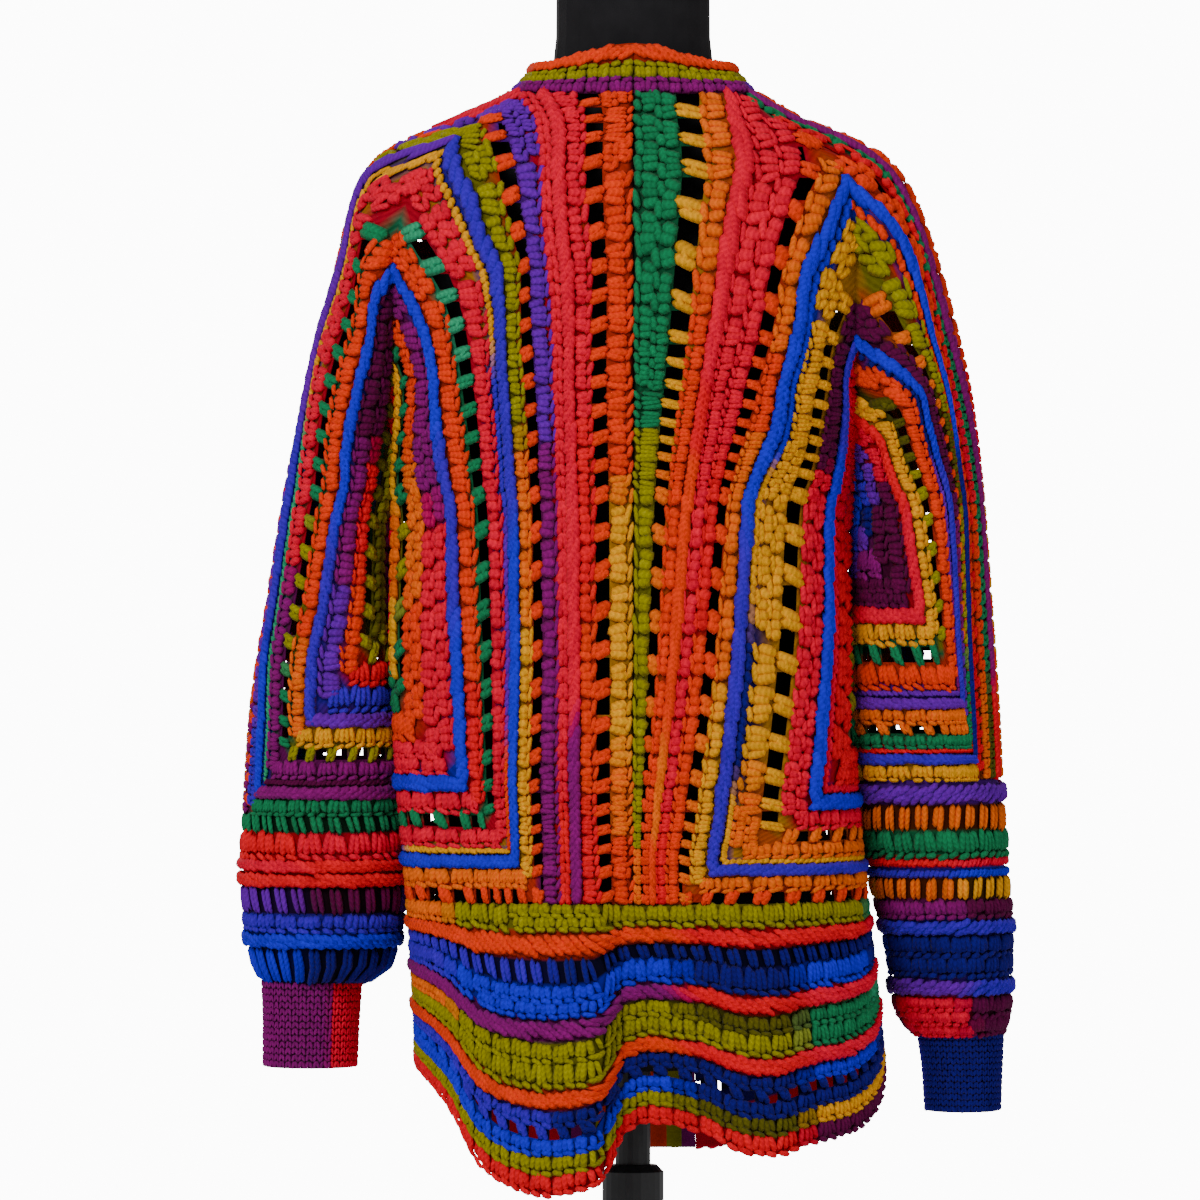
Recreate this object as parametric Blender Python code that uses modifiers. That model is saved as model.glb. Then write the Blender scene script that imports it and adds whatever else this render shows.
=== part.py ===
"""Crocheted hexagon cardigan on a limbless dress form, with the form's stand.

Metres, +Z up, the cardigan's front faces -Y and its left side is at +X. The origin is on the floor under the
middle of the stand's base.

Each half of the cardigan is one crocheted hexagon folded in two, so its back and its front are L-shaped layers.
A layer is laid out flat in rows counted from the underarm: a runs towards the centre back or front (below 0,
towards the cuff), and b runs up (below 0, towards the hem). place_layer() wraps those rows round the form.
"""

from collections import namedtuple
from math import cos, pi, radians, sin

import bmesh
import bpy
import numpy as np
from mathutils.geometry import delaunay_2d_cdt

# Cloth
CLOTH = 0.004
SEAM = 0.0003
RIDGE = 0.0035
RIDGE_HALF = 0.45

# In the fold between body and sleeve the cloth is pressed together
FOLD_ROWS = 2.6
FOLD_THINNER = 0.35
FOLD_FLATTER = 0.80

# Rows of a hexagon layer, counted from the underarm. Rows are cut GRID apart, and finer within APEX_ROWS of the
# corner where they cross the fold
ROWS = 27.0
HEM_ROWS = 20.0
CUFF_ROWS = 19.0
TOP_ROWS = 22.0
RIDGE_ROWS = (12.0, 17.5)
STRIP_RIDGE = 23.0
MESH_ROWS = (19.6, 25.0)
SLEEVE_MESH_ROW = 14.8
EYELET_HALF = (0.42, 0.40)
EYELET_PITCH = 1.5
GRID = 4.0
APEX_ROWS = 6.0

# Places along a hem edge, from the side line to the middle, shared by a hexagon and the hem band
BACK_STOPS = (0.0, 0.12, 0.24, 0.36, 0.47, 0.57, 0.67, 0.76, 0.83, 0.88, 0.92, 0.96, 1.0)
FRONT_STOPS = (0.0, 0.2, 0.4, 0.6, 0.8, 1.0)

# Rows below the underarm where its arch is cut finer
UNDERARM_STOPS = (0.0, 0.25, 0.6, 1.1, 2.2)

# Heights of the rows above the floor, one line for each row that the photo fixes
UNDERARM = 1.146
RowHeights = namedtuple("RowHeights", "rows left right")
NECK_LEG = (
    RowHeights(0.0, UNDERARM, UNDERARM),
    RowHeights(12.0, 1.307, 1.256),
    RowHeights(17.5, 1.392, 1.366),
    RowHeights(22.0, 1.428, 1.428),
)
HEM_LEG = (
    RowHeights(0.0, UNDERARM, UNDERARM),
    RowHeights(12.0, 0.939, 0.925),
    RowHeights(17.5, 0.884, 0.878),
    RowHeights(20.0, 0.855, 0.855),
)
CUFF_LEG = (
    RowHeights(0.0, UNDERARM, UNDERARM),
    RowHeights(12.0, 0.983, 0.995),
    RowHeights(17.5, 0.931, 0.955),
    RowHeights(19.0, 0.915, 0.940),
)

# Level sections of the body: the fold line between body and sleeve, and how far back and front the cloth goes
BodySlice = namedtuple("BodySlice", "z fold_left fold_right fold_back fold_front back front edge")
BODY = (
    BodySlice(0.640, 0.158, 0.186, 0.000, 0.000, 0.150, -0.140, 0.046),
    BodySlice(0.740, 0.154, 0.178, 0.000, 0.000, 0.138, -0.130, 0.045),
    BodySlice(0.855, 0.160, 0.166, 0.000, 0.000, 0.122, -0.120, 0.043),
    BodySlice(0.950, 0.168, 0.158, 0.000, 0.000, 0.113, -0.112, 0.042),
    BodySlice(1.040, 0.172, 0.155, 0.000, 0.000, 0.109, -0.112, 0.042),
    BodySlice(UNDERARM, 0.1735, 0.157, 0.000, 0.000, 0.110, -0.122, 0.044),
    BodySlice(1.220, 0.1710, 0.158, 0.030, -0.030, 0.113, -0.120, 0.048),
    BodySlice(1.310, 0.1710, 0.158, 0.053, -0.048, 0.111, -0.105, 0.053),
    BodySlice(1.366, 0.154, 0.150, 0.066, -0.052, 0.103, -0.085, 0.059),
    BodySlice(1.392, 0.127, 0.125, 0.069, -0.049, 0.096, -0.070, 0.062),
    BodySlice(1.410, 0.098, 0.097, 0.067, -0.040, 0.088, -0.056, 0.065),
    BodySlice(1.428, 0.076, 0.076, 0.058, -0.024, 0.077, -0.038, 0.067),
)

# Level sections of the sleeve: its outer line, and how far its back and front stand out between the two lines
SleeveSlice = namedtuple("SleeveSlice", "z outer_left outer_right line_y bulge")
SLEEVE = (
    SleeveSlice(0.900, 0.276, 0.262, -0.032, 0.056),
    SleeveSlice(0.987, 0.270, 0.258, -0.028, 0.055),
    SleeveSlice(1.069, 0.257, 0.252, -0.022, 0.053),
    SleeveSlice(UNDERARM, 0.2445, 0.246, -0.016, 0.050),
    SleeveSlice(1.211, 0.231, 0.238, -0.010, 0.046),
    SleeveSlice(1.300, 0.209, 0.216, -0.004, 0.038),
    SleeveSlice(1.362, 0.193, 0.193, 0.002, 0.019),
    SleeveSlice(1.382, 0.178, 0.176, 0.004, 0.012),
    SleeveSlice(1.391, 0.163, 0.160, 0.006, 0.009),
    SleeveSlice(1.408, 0.121, 0.119, 0.009, 0.005),
    SleeveSlice(1.428, 0.0835, 0.0835, 0.012, 0.003),
)
SLEEVE_AXIS = (0.215, -0.020)
UNDERARM_GAP = 0.0125
UNDERARM_ARCH = 0.018
VALLEY_LEAN = 0.022
VALLEY_SHARE = 0.28
VALLEY_REACH = 0.12

# Hem band
HEM_TOP = HEM_LEG[-1].left - SEAM
HEM_BOTTOM_FRONT = 0.668
# Height of the hem's lower edge across the back, from the left side by the centre to the right side
HemEdge = namedtuple("HemEdge", "u z")
HEM_EDGE = (
    HemEdge(-1.00, 0.740),
    HemEdge(-0.64, 0.718),
    HemEdge(-0.48, 0.690),
    HemEdge(-0.25, 0.674),
    HemEdge(-0.10, 0.682),
    HemEdge(0.03, 0.702),
    HemEdge(0.37, 0.684),
    HemEdge(0.62, 0.690),
    HemEdge(0.80, 0.705),
    HemEdge(1.00, 0.736),
)
HEM_RIDGES = (0.14, 0.40, 0.64, 0.86)
HEM_RIDGE_HALF = 0.035
HEM_EYELETS = (0.735, 0.785)

# Large folds of the back: where a fold starts and ends across the back, how wide its two flanks are, its depth
# Shares of the way from the fold to the centre for even stops among the rows, at levels of b
ROW_STOPS = (0.0, 0.25, 0.45, 0.65, 0.85, 1.0)
RowRun = namedtuple("RowRun", "b first second third fourth")
LEFT_RUN = (
    RowRun(-12.0, 0.270, 0.500, 0.662, 0.838),
    RowRun(-6.0, 0.260, 0.490, 0.680, 0.842),
    RowRun(0.0, 0.225, 0.435, 0.668, 0.839),
    RowRun(6.0, 0.300, 0.540, 0.715, 0.860),
    RowRun(12.0, 0.460, 0.670, 0.770, 0.900),
    RowRun(16.0, 0.500, 0.670, 0.775, 0.900),
    RowRun(22.0, 0.350, 0.550, 0.750, 0.900),
)
RIGHT_RUN = (
    RowRun(-16.0, 0.235, 0.430, 0.780, 0.948),
    RowRun(-11.3, 0.230, 0.415, 0.745, 0.930),
    RowRun(-6.2, 0.170, 0.330, 0.690, 0.885),
    RowRun(0.0, 0.100, 0.222, 0.645, 0.840),
    RowRun(9.0, 0.220, 0.515, 0.690, 0.850),
    RowRun(14.5, 0.410, 0.570, 0.710, 0.860),
    RowRun(22.0, 0.300, 0.500, 0.700, 0.870),
)

Flute = namedtuple("Flute", "inner rise outer fall depth")
FLUTES = (
    Flute(0.010, 0.022, 0.150, 0.060, 0.050),
    Flute(-0.052, 0.026, 0.006, 0.016, -0.008),
    Flute(-0.130, 0.036, -0.046, 0.036, 0.014),
)
FLUTE_TOP = 0.930
FLUTE_FULL = 0.720
FLUTE_DIP = 0.42

# Sleeve bands and cuffs, from the hexagon down: x of both sides, y of the middle, half depth
TubeSlice = namedtuple("TubeSlice", "z inner outer mid_y depth")
SLEEVE_TUBES = {
    1: (
        TubeSlice(0.870, 0.1680, 0.2770, -0.034, 0.0560),
        TubeSlice(0.830, 0.1710, 0.2740, -0.037, 0.0545),
        TubeSlice(0.806, 0.1780, 0.2690, -0.039, 0.0480),
        TubeSlice(0.794, 0.1960, 0.2630, -0.040, 0.0360),
    ),
    -1: (
        TubeSlice(0.880, 0.1740, 0.2650, -0.036, 0.0560),
        TubeSlice(0.820, 0.1860, 0.2680, -0.042, 0.0550),
        TubeSlice(0.775, 0.1930, 0.2670, -0.046, 0.0490),
        TubeSlice(0.757, 0.2060, 0.2630, -0.048, 0.0360),
    ),
}
TUBE_AXIS = (0.232, -0.038)
TUBE_SIDES = 16
BAND_RIDGES = (0.16, 0.50, 0.80)
BAND_RIDGE_HALF = 0.045
BAND_FULL = 0.65
CUFF_MIDDLE = 0.5
CUFF_TUBES = {
    1: (
        TubeSlice(0.7937, 0.1985, 0.2630, -0.040, 0.0350),
        TubeSlice(0.765, 0.2005, 0.2620, -0.041, 0.0330),
        TubeSlice(0.732, 0.2020, 0.2620, -0.042, 0.0330),
    ),
    -1: (
        TubeSlice(0.7567, 0.2085, 0.2630, -0.048, 0.0350),
        TubeSlice(0.730, 0.2120, 0.2620, -0.049, 0.0330),
        TubeSlice(0.700, 0.2140, 0.2610, -0.050, 0.0320),
    ),
}

# Front and neck band
BAND_WIDTH = 0.034
BAND_SHARES = (0.0, 0.5, 1.0)
BAND_RISE = (0.036, 0.020)
BAND_LEAN = (0.006, 0.018)
NECK_HALF_WIDTH = 0.0835
NECK_BLEND = 4

# Dress form: level sections, with its half width and how far it goes back and front
FormSlice = namedtuple("FormSlice", "z half_width back front")
SHOULDER_SEAT = 0.0050
FORM = (
    FormSlice(0.740, 0.1340, 0.092, -0.088),
    FormSlice(0.800, 0.1400, 0.100, -0.090),
    FormSlice(0.870, 0.1420, 0.104, -0.092),
    FormSlice(0.950, 0.1330, 0.090, -0.086),
    FormSlice(1.030, 0.1190, 0.078, -0.080),
    FormSlice(1.110, 0.1250, 0.084, -0.096),
    FormSlice(1.180, 0.1350, 0.090, -0.106),
    FormSlice(1.250, 0.1400, 0.094, -0.100),
    FormSlice(1.310, 0.1440, 0.092, -0.082),
    FormSlice(1.350, 0.1520, 0.084, -0.064),
    FormSlice(1.372, 0.1540, 0.076, -0.052),
    FormSlice(1.388 + SHOULDER_SEAT, 0.1440, 0.070, -0.046),
    FormSlice(1.404 + SHOULDER_SEAT, 0.1180, 0.067, -0.044),
    FormSlice(1.424 + SHOULDER_SEAT, 0.0810, 0.066, -0.044),
    FormSlice(1.440 + SHOULDER_SEAT, 0.0590, 0.063, -0.044),
    FormSlice(1.470, 0.0550, 0.062, -0.046),
    FormSlice(1.548, 0.0545, 0.062, -0.046),
)
FORM_FINER = (1.396, 1.414, 1.455)
FORM_SIDES = 24
NECK_MID_Y = (FORM[-1].back + FORM[-1].front) / 2

# Neck cap and stand
CAP_RADIUS = 0.050
CAP_HEIGHT = 0.008
CAP_ROUND = 0.004
POLE_RADIUS = 0.0125
TUBE_WALL = 0.003
COLLAR_RADIUS = 0.022
COLLAR_TOP = 0.664
COLLAR_HEIGHT = 0.050
COLLAR_ROUND = 0.005
COLLAR_TAPER = 0.012
PLATE_RADIUS = 0.060
PLATE_HEIGHT = 0.006
BASE_RADIUS = 0.170
BASE_HEIGHT = 0.014
BASE_ROUND = 0.006
BOSS_RADIUS = 0.030
BOSS_HEIGHT = 0.030
BOSS_ROUND = 0.009
BOSS_FLARE = 0.004


def smooth(x, knots, values):
    """A smooth curve through a short table; outside it, the end value."""
    knots = np.asarray(knots, float)
    values = np.asarray(values, float)
    rise = np.diff(values) / np.diff(knots)
    same_way = rise[:-1] * rise[1:] > 0
    both = np.where(same_way, rise[:-1] + rise[1:], 1)
    slopes = np.concatenate([rise[:1], np.where(same_way, 2 * rise[:-1] * rise[1:] / both, 0), rise[-1:]])
    x = np.clip(np.asarray(x, float), knots[0], knots[-1])
    i = np.clip(np.searchsorted(knots, x, side="right") - 1, 0, len(knots) - 2)
    step = knots[i + 1] - knots[i]
    t = (x - knots[i]) / step
    return (
        values[i] * (2 * t**3 - 3 * t**2 + 1)
        + slopes[i] * step * (t**3 - 2 * t**2 + t)
        + values[i + 1] * (3 * t**2 - 2 * t**3)
        + slopes[i + 1] * step * (t**3 - t**2)
    )


def column(table, key, name, x):
    """One named column of a table, read at x along its key column."""
    rows = sorted(table, key=lambda row: getattr(row, key))
    return smooth(x, [getattr(row, key) for row in rows], [getattr(row, name) for row in rows])


def ease(t):
    t = np.clip(t, 0, 1)
    return t * t * (3 - 2 * t)


def side_word(side):
    return "left" if side > 0 else "right"


def leg_height(table, rows, side):
    return column(table, "rows", side_word(side), rows)


def flute(x, z):
    """How far the back of the cloth stands out in its large folds, at x on the level z."""
    out = np.zeros_like(x)
    for fold in FLUTES:
        out = out + fold.depth * ease((x - fold.inner) / fold.rise) * ease((fold.outer - x) / fold.fall)
    return out * ease((FLUTE_TOP - z) / (FLUTE_TOP - FLUTE_FULL))


def arch(z):
    """Width of the gap between body and sleeve below the underarm."""
    drop = np.clip((UNDERARM - z) / UNDERARM_ARCH, 0, 1)
    return UNDERARM_GAP * np.sqrt(1 - (1 - drop) ** 2)


def valley(z, share, width):
    """How far the cloth leans away from the fold between body and sleeve, so that the fold is an open valley."""
    near_fold = 4 * share * (1 - share) ** 3
    fades_in = ease((z - UNDERARM + VALLEY_REACH) / VALLEY_REACH)
    return np.minimum(VALLEY_LEAN, VALLEY_SHARE * width) * fades_in * near_fold


def body_ring(z, share, side, face):
    """Point of the body's inner surface on the level z: share 0 at the fold or side line, 1 at the middle."""
    fold = column(BODY, "z", "fold_" + side_word(side), z) - arch(z) / 2
    fold_y = column(BODY, "z", "fold_back" if face > 0 else "fold_front", z)
    reach = column(BODY, "z", "back" if face > 0 else "front", z)
    edge = 0 * z if face > 0 else column(BODY, "z", "edge", z)
    part = share * np.arccos(edge / fold) / (pi / 2)
    angle = part * pi / 2
    x = fold * np.cos(angle) - valley(z, part, fold / 2)
    turn = np.sin(angle)
    y = fold_y + (reach - fold_y) * turn
    if face > 0:
        y = y + flute(side * x, z) * turn
    return np.stack([side * (x + (SEAM / 2 if face > 0 else 0)), y + face * SEAM / 2, z], -1)


def sleeve_ring(z, share, side, face):
    """Point of the sleeve's inner surface on the level z: share 0 at the fold or inner line, 1 at the outer line."""
    word = side_word(side)
    inner = column(BODY, "z", "fold_" + word, z) + arch(z) / 2
    outer = column(SLEEVE, "z", "outer_" + word, z)
    below = ease((UNDERARM - z) / 0.10)
    line_y = column(SLEEVE, "z", "line_y", z)
    fold_y = column(BODY, "z", "fold_back" if face > 0 else "fold_front", z)
    inner_y = fold_y * (1 - below) + line_y * below
    bulge = column(SLEEVE, "z", "bulge", z)
    angle = share * pi
    across = (1 - np.cos(angle)) / 2 + valley(z, share, outer - inner) / (outer - inner)
    out = np.sin(angle)
    x = inner + (outer - inner) * across
    y = inner_y + (line_y - inner_y) * across + face * bulge * out
    return np.stack([side * x, y + face * SEAM / 2, z], -1)


def row_share(share, b, side):
    """Where a body row lies between the fold and the centre: even rows drawn aside as the cardigan hangs."""
    runs = LEFT_RUN if side > 0 else RIGHT_RUN
    levels = np.array([run.b for run in runs])
    found = np.stack([smooth(share, ROW_STOPS, (0.0, *run[1:], 1.0)) for run in runs])
    at = np.clip(b, levels[0], levels[-1])
    i = np.clip(np.searchsorted(levels, at, side="right") - 1, 0, len(levels) - 2)
    t = (at - levels[i]) / (levels[i + 1] - levels[i])
    which = np.arange(len(at))
    return found[i, which] * (1 - t) + found[i + 1, which] * t


def place_layer(flat, side, face):
    """Inner surface of a hexagon layer at its flat rows."""
    a = flat[:, 0]
    b = flat[:, 1]
    body_z = np.where(b < 0, leg_height(HEM_LEG, -b, side), leg_height(NECK_LEG, b, side))
    sleeve_z = np.where(a < 0, leg_height(CUFF_LEG, -a, side), leg_height(NECK_LEG, a, side))
    body_share = (a - np.maximum(b, 0)) / np.maximum(ROWS - np.maximum(b, 0), 1)
    sleeve_share = (b - np.maximum(a, 0)) / np.maximum(ROWS - np.maximum(a, 0), 1)
    body = body_ring(body_z, row_share(np.clip(body_share, 0, 1), b, side), side, face)
    sleeve = sleeve_ring(sleeve_z, np.clip(sleeve_share, 0, 1), side, face)
    return np.where((a >= b)[:, None], body, sleeve)


def material(name, colour, roughness=0.9, metallic=0.0):
    made = bpy.data.materials.new(name)
    made.use_nodes = True
    shader = made.node_tree.nodes["Principled BSDF"]
    shader.inputs["Base Color"].default_value = (*colour, 1)
    shader.inputs["Roughness"].default_value = roughness
    shader.inputs["Metallic"].default_value = metallic
    return made


def add_object(name, mesh, look, smooth_angle=40):
    mesh.materials.append(look)
    mesh.shade_smooth()
    mesh.set_sharp_from_angle(angle=radians(smooth_angle))
    made = bpy.data.objects.new(name, mesh)
    CARDIGAN.objects.link(made)
    return made


def vertex_normals(points, triangles):
    corners = points[triangles]
    faces = np.cross(corners[:, 1] - corners[:, 0], corners[:, 2] - corners[:, 0])
    faces /= np.maximum(np.linalg.norm(faces, axis=1, keepdims=True), 1e-12)
    normals = np.zeros_like(points)
    for corner in range(3):
        one = corners[:, (corner + 1) % 3] - corners[:, corner]
        two = corners[:, (corner + 2) % 3] - corners[:, corner]
        turn = np.sum(one * two, 1) / (np.linalg.norm(one, axis=1) * np.linalg.norm(two, axis=1))
        np.add.at(normals, triangles[:, corner], faces * np.arccos(np.clip(turn, -1, 1))[:, None])
    return normals


def wall(name, points, triangles, lift, look, fix_normals=None, outward=None):
    """A closed cloth wall: an inner surface, the outer one lifted off it, and a rim round every edge and gap."""
    triangles = np.asarray(triangles)
    normals = vertex_normals(points, triangles)
    if np.sum(normals * outward(points)) < 0:
        triangles = triangles[:, ::-1]
        normals = -normals
    if fix_normals is not None:
        fix_normals(normals)
    normals /= np.linalg.norm(normals, axis=1, keepdims=True)
    count = len(points)
    outer = points + normals * lift[:, None]
    edges = {}
    for triangle in triangles:
        for k in range(3):
            edges[(triangle[k], triangle[(k + 1) % 3])] = True
    rims = []
    for one, two in edges:
        if (two, one) not in edges:
            rims.append((one, two, two + count))
            rims.append((one, two + count, one + count))
    faces = [tuple(t + count) for t in triangles] + [tuple(t[::-1]) for t in triangles] + rims
    mesh = bpy.data.meshes.new(name)
    mesh.from_pydata([tuple(p) for p in np.vstack([points, outer])], [], [tuple(int(i) for i in f) for f in faces])
    mesh.update()
    return add_object(name, mesh, look)


def steps(low, high, spacing):
    count = max(1, round(abs(high - low) / spacing))
    return [low + (high - low) * i / count for i in range(count + 1)]


def polyline(corners, spacing):
    """Points along straight legs, at most about one spacing apart."""
    path = [corners[0]]
    for one, two in zip(corners, corners[1:]):
        length = max(abs(two[0] - one[0]), abs(two[1] - one[1]))
        count = max(1, round(length / spacing))
        for i in range(1, count + 1):
            path.append((one[0] + (two[0] - one[0]) * i / count, one[1] + (two[1] - one[1]) * i / count))
    return path


def eyelet_rows(face):
    """Middles of the gaps in the open rows: on the body's rows, then on the sleeve's."""
    pitch = EYELET_PITCH if face > 0 else 2 * EYELET_PITCH
    middles = []
    for row in MESH_ROWS:
        count = int((HEM_ROWS + TOP_ROWS - 2) / pitch)
        places = [-HEM_ROWS + 1.2 + i * pitch for i in range(count)]
        middles += [(row, b, 0) for b in places if b < row - 1.6]
    count = int((CUFF_ROWS + 10) / (2 * EYELET_PITCH))
    middles += [(-13 + 2 * EYELET_PITCH * i, SLEEVE_MESH_ROW, 1) for i in range(count)]
    return middles


def layer_plan(face):
    """Flat triangles of a layer, with its rows, ridges and gaps."""
    points = []
    edges = []
    heights = {}

    def chain(path, closed=False, height=0.0):
        first = len(points)
        points.extend(path)
        for i in range(len(path) - 1):
            edges.append((first + i, first + i + 1))
        if closed:
            edges.append((first + len(path) - 1, first))
        for p in path:
            heights[(round(p[0], 4), round(p[1], 4))] = height

    chain([(ROWS * stop, -HEM_ROWS) for stop in (BACK_STOPS if face > 0 else FRONT_STOPS)])
    outline = [
        (ROWS, -HEM_ROWS), (ROWS, TOP_ROWS), (TOP_ROWS, TOP_ROWS),
        (TOP_ROWS, ROWS), (-CUFF_ROWS, ROWS), (-CUFF_ROWS, 0.0), (-UNDERARM_STOPS[-1], 0.0),
    ]
    chain(polyline(outline, GRID * 0.6))
    chain([(-stop, 0.0) for stop in UNDERARM_STOPS[::-1]] + [(0.0, -stop) for stop in UNDERARM_STOPS[1:]])
    chain(polyline([(0.0, -UNDERARM_STOPS[-1]), (0.0, -HEM_ROWS)], GRID * 0.6))
    for row in RIDGE_ROWS:
        for offset, height in ((-RIDGE_HALF, 0.0), (0.0, RIDGE), (RIDGE_HALF, 0.0)):
            r = row + offset
            near = r - APEX_ROWS
            up = polyline([(0.0, -r), (r, -r), (r, near)], GRID)
            apex = polyline([(r, near), (r, r), (near, r)], GRID / 2)
            down = polyline([(near, r), (-r, r), (-r, 0.0)], GRID)
            chain(up + apex[1:] + down[1:], height=height)
    for offset, height in ((-RIDGE_HALF, 0.0), (0.0, RIDGE), (RIDGE_HALF, 0.0)):
        r = STRIP_RIDGE + offset
        chain(polyline([(r, -HEM_ROWS), (r, TOP_ROWS)], GRID), height=height)
        chain(polyline([(TOP_ROWS, r), (-CUFF_ROWS, r)], GRID), height=height)
    chain(polyline([(0.0, 0.0), (TOP_ROWS, TOP_ROWS)], 2.0))
    middles = eyelet_rows(face)
    for a, b, turned in middles:
        da, db = EYELET_HALF[::-1] if turned else EYELET_HALF
        chain([(a - da, b - db), (a + da, b - db), (a + da, b + db), (a - da, b + db)], closed=True)
    taken = np.array(points)
    for a in np.arange(-CUFF_ROWS + GRID / 2, ROWS, GRID):
        for b in np.arange(-HEM_ROWS + GRID / 2, ROWS, GRID):
            inside = (a > 1 or b > 1) and min(a, b) < TOP_ROWS - 1
            if inside and np.min(np.hypot(taken[:, 0] - a, taken[:, 1] - b)) > 1.1:
                points.append((a, b))
    found = delaunay_2d_cdt([tuple(p) for p in points], edges, [], 0, 1e-4)
    flat = np.array([tuple(p) for p in found[0]])
    triangles = []
    for triangle in found[2]:
        a, b = flat[list(triangle)].mean(0)
        if (a < 0 and b < 0) or min(a, b) > TOP_ROWS:
            continue
        hole = any(
            abs(a - m[0]) < EYELET_HALF[1 if m[2] else 0] and abs(b - m[1]) < EYELET_HALF[0 if m[2] else 1]
            for m in middles
        )
        if not hole:
            triangles.append(triangle)
    lift = np.array([heights.get((round(a, 4), round(b, 4)), 0.0) for a, b in flat])
    used = np.unique(np.array(triangles))
    index = np.full(len(flat), -1)
    index[used] = np.arange(len(used))
    return flat[used], index[np.array(triangles)], lift[used]


def hexagon_layer(side, face, look):
    flat, triangles, ridge = layer_plan(face)
    points = place_layer(flat, side, face)
    a = flat[:, 0]
    b = flat[:, 1]
    side_line = (np.abs(a) < 1e-6) & (b < 1e-6)
    inner_line = (np.abs(b) < 1e-6) & (a < 1e-6)
    outer_line = np.abs(b - ROWS) < 1e-6
    middle_line = (np.abs(a - ROWS) < 1e-6) & (face > 0)
    level_edge = (b < 1e-6 - HEM_ROWS) | (a < 1e-6 - CUFF_ROWS) | (np.minimum(a, b) > TOP_ROWS - 1e-6)
    underarm = np.hypot(a, b) < 1e-6

    def fix(normals):
        normals[side_line | inner_line | outer_line, 1] = 0
        normals[middle_line, 0] = 0
        normals[level_edge, 2] = 0
        normals[underarm] = (0, 0, -1)

    def outward(where):
        body = (a >= b)[:, None]
        axis = np.where(body, [0.0, 0.0, 0.0], [side * SLEEVE_AXIS[0], SLEEVE_AXIS[1], 0.0])
        away = where - axis
        away[:, 2] = 0
        return away

    word = ("back_" if face > 0 else "front_") + side_word(side)
    at_fold = np.exp(-(((a - b) / FOLD_ROWS) ** 2)) * (np.minimum(a, b) > -1)
    lift = CLOTH * (1 - FOLD_THINNER * at_fold) + ridge * (1 - FOLD_FLATTER * at_fold)
    return wall("hexagon_" + word, points, triangles, lift, look, fix, outward)


def grid_wall(name, place, us, vs, closed, lift, look, outward, fix=None, skip=None):
    """A wall over a grid of us by vs; the grid may close on itself along u."""
    count = len(us)
    u, v = np.meshgrid(us, vs)
    flat = np.stack([u.ravel(), v.ravel()], -1)
    triangles = []
    for j in range(len(vs) - 1):
        for i in range(count if closed else count - 1):
            if skip and skip(i, j):
                continue
            one, two = j * count + i, j * count + (i + 1) % count
            triangles += [(one, two, two + count), (one, two + count, one + count)]
    points = place(flat)
    return wall(name, points, np.array(triangles), lift(flat), look, fix and fix(flat), outward)


def ridge_levels(ridges, half, extra):
    levels = {0.0, 1.0, *extra}
    for r in ridges:
        levels |= {r - half, r, r + half}
    return sorted(levels)


def ridge_lift(v, ridges):
    on = np.zeros_like(v)
    for r in ridges:
        on = np.maximum(on, np.isclose(v, r) * RIDGE)
    return CLOTH + on


def cuff_slice(side):
    """The hexagon's lower edge on the sleeve, which the sleeve band goes on from."""
    z = leg_height(CUFF_LEG, CUFF_ROWS, side)
    inner = column(BODY, "z", "fold_" + side_word(side), z) + arch(z) / 2
    outer = column(SLEEVE, "z", "outer_" + side_word(side), z)
    return TubeSlice(
        float(z), float(inner), float(outer), float(column(SLEEVE, "z", "line_y", z)),
        float(column(SLEEVE, "z", "bulge", z)),
    )


def hem_place(flat):
    """u from -2 at the left front edge, -1 at the left side, 0 at the centre back, to 2 at the right front edge."""
    u, v = flat.T
    side = np.where(u < 0, 1, -1)
    quarter = np.abs(u)
    back = quarter <= 1
    edge = [point.z for point in HEM_EDGE]
    low = smooth(u, [point.u for point in HEM_EDGE], edge)
    low = low + (HEM_BOTTOM_FRONT - low) * ease(quarter - 1)
    z = HEM_TOP + (low - HEM_TOP) * v
    points = np.zeros((len(flat), 3))
    for s in (1, -1):
        for f in (1, -1):
            here = (side == s) & (back == (f > 0))
            share = 1 - quarter[here] if f > 0 else quarter[here] - 1
            ring = body_ring(z[here], share, s, f)
            ring[:, 0] -= s * SEAM / 2 if f > 0 else 0
            ring[:, 1] -= f * SEAM / 2
            points[here] = ring
    points[:, 2] -= FLUTE_DIP * np.maximum(flute(points[:, 0], points[:, 2]), 0) * back * ease(v / 0.3)
    return points


def hem_band(look):
    left = [-1 - stop for stop in FRONT_STOPS[::-1]] + [stop - 1 for stop in BACK_STOPS[1:]]
    us = left + [-u for u in left[:-1][::-1]]
    vs = ridge_levels(HEM_RIDGES, HEM_RIDGE_HALF, HEM_EYELETS)
    gap_row = vs.index(HEM_EYELETS[0])
    first = left.index(-1) + 1
    last = len(us) - first - 1

    def skip(i, j):
        return j == gap_row and first <= i < last and (i - first) % 2 == 0

    def fix(flat):
        top = np.isclose(flat[:, 1], 0)

        def level(normals):
            normals[top, 2] = 0

        return level

    def outward(points):
        return points * [1, 1, 0]

    return grid_wall(
        "hem_band", hem_place, us, vs, False, lambda flat: ridge_lift(flat[:, 1], HEM_RIDGES),
        look, outward, fix, skip,
    )


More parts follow.
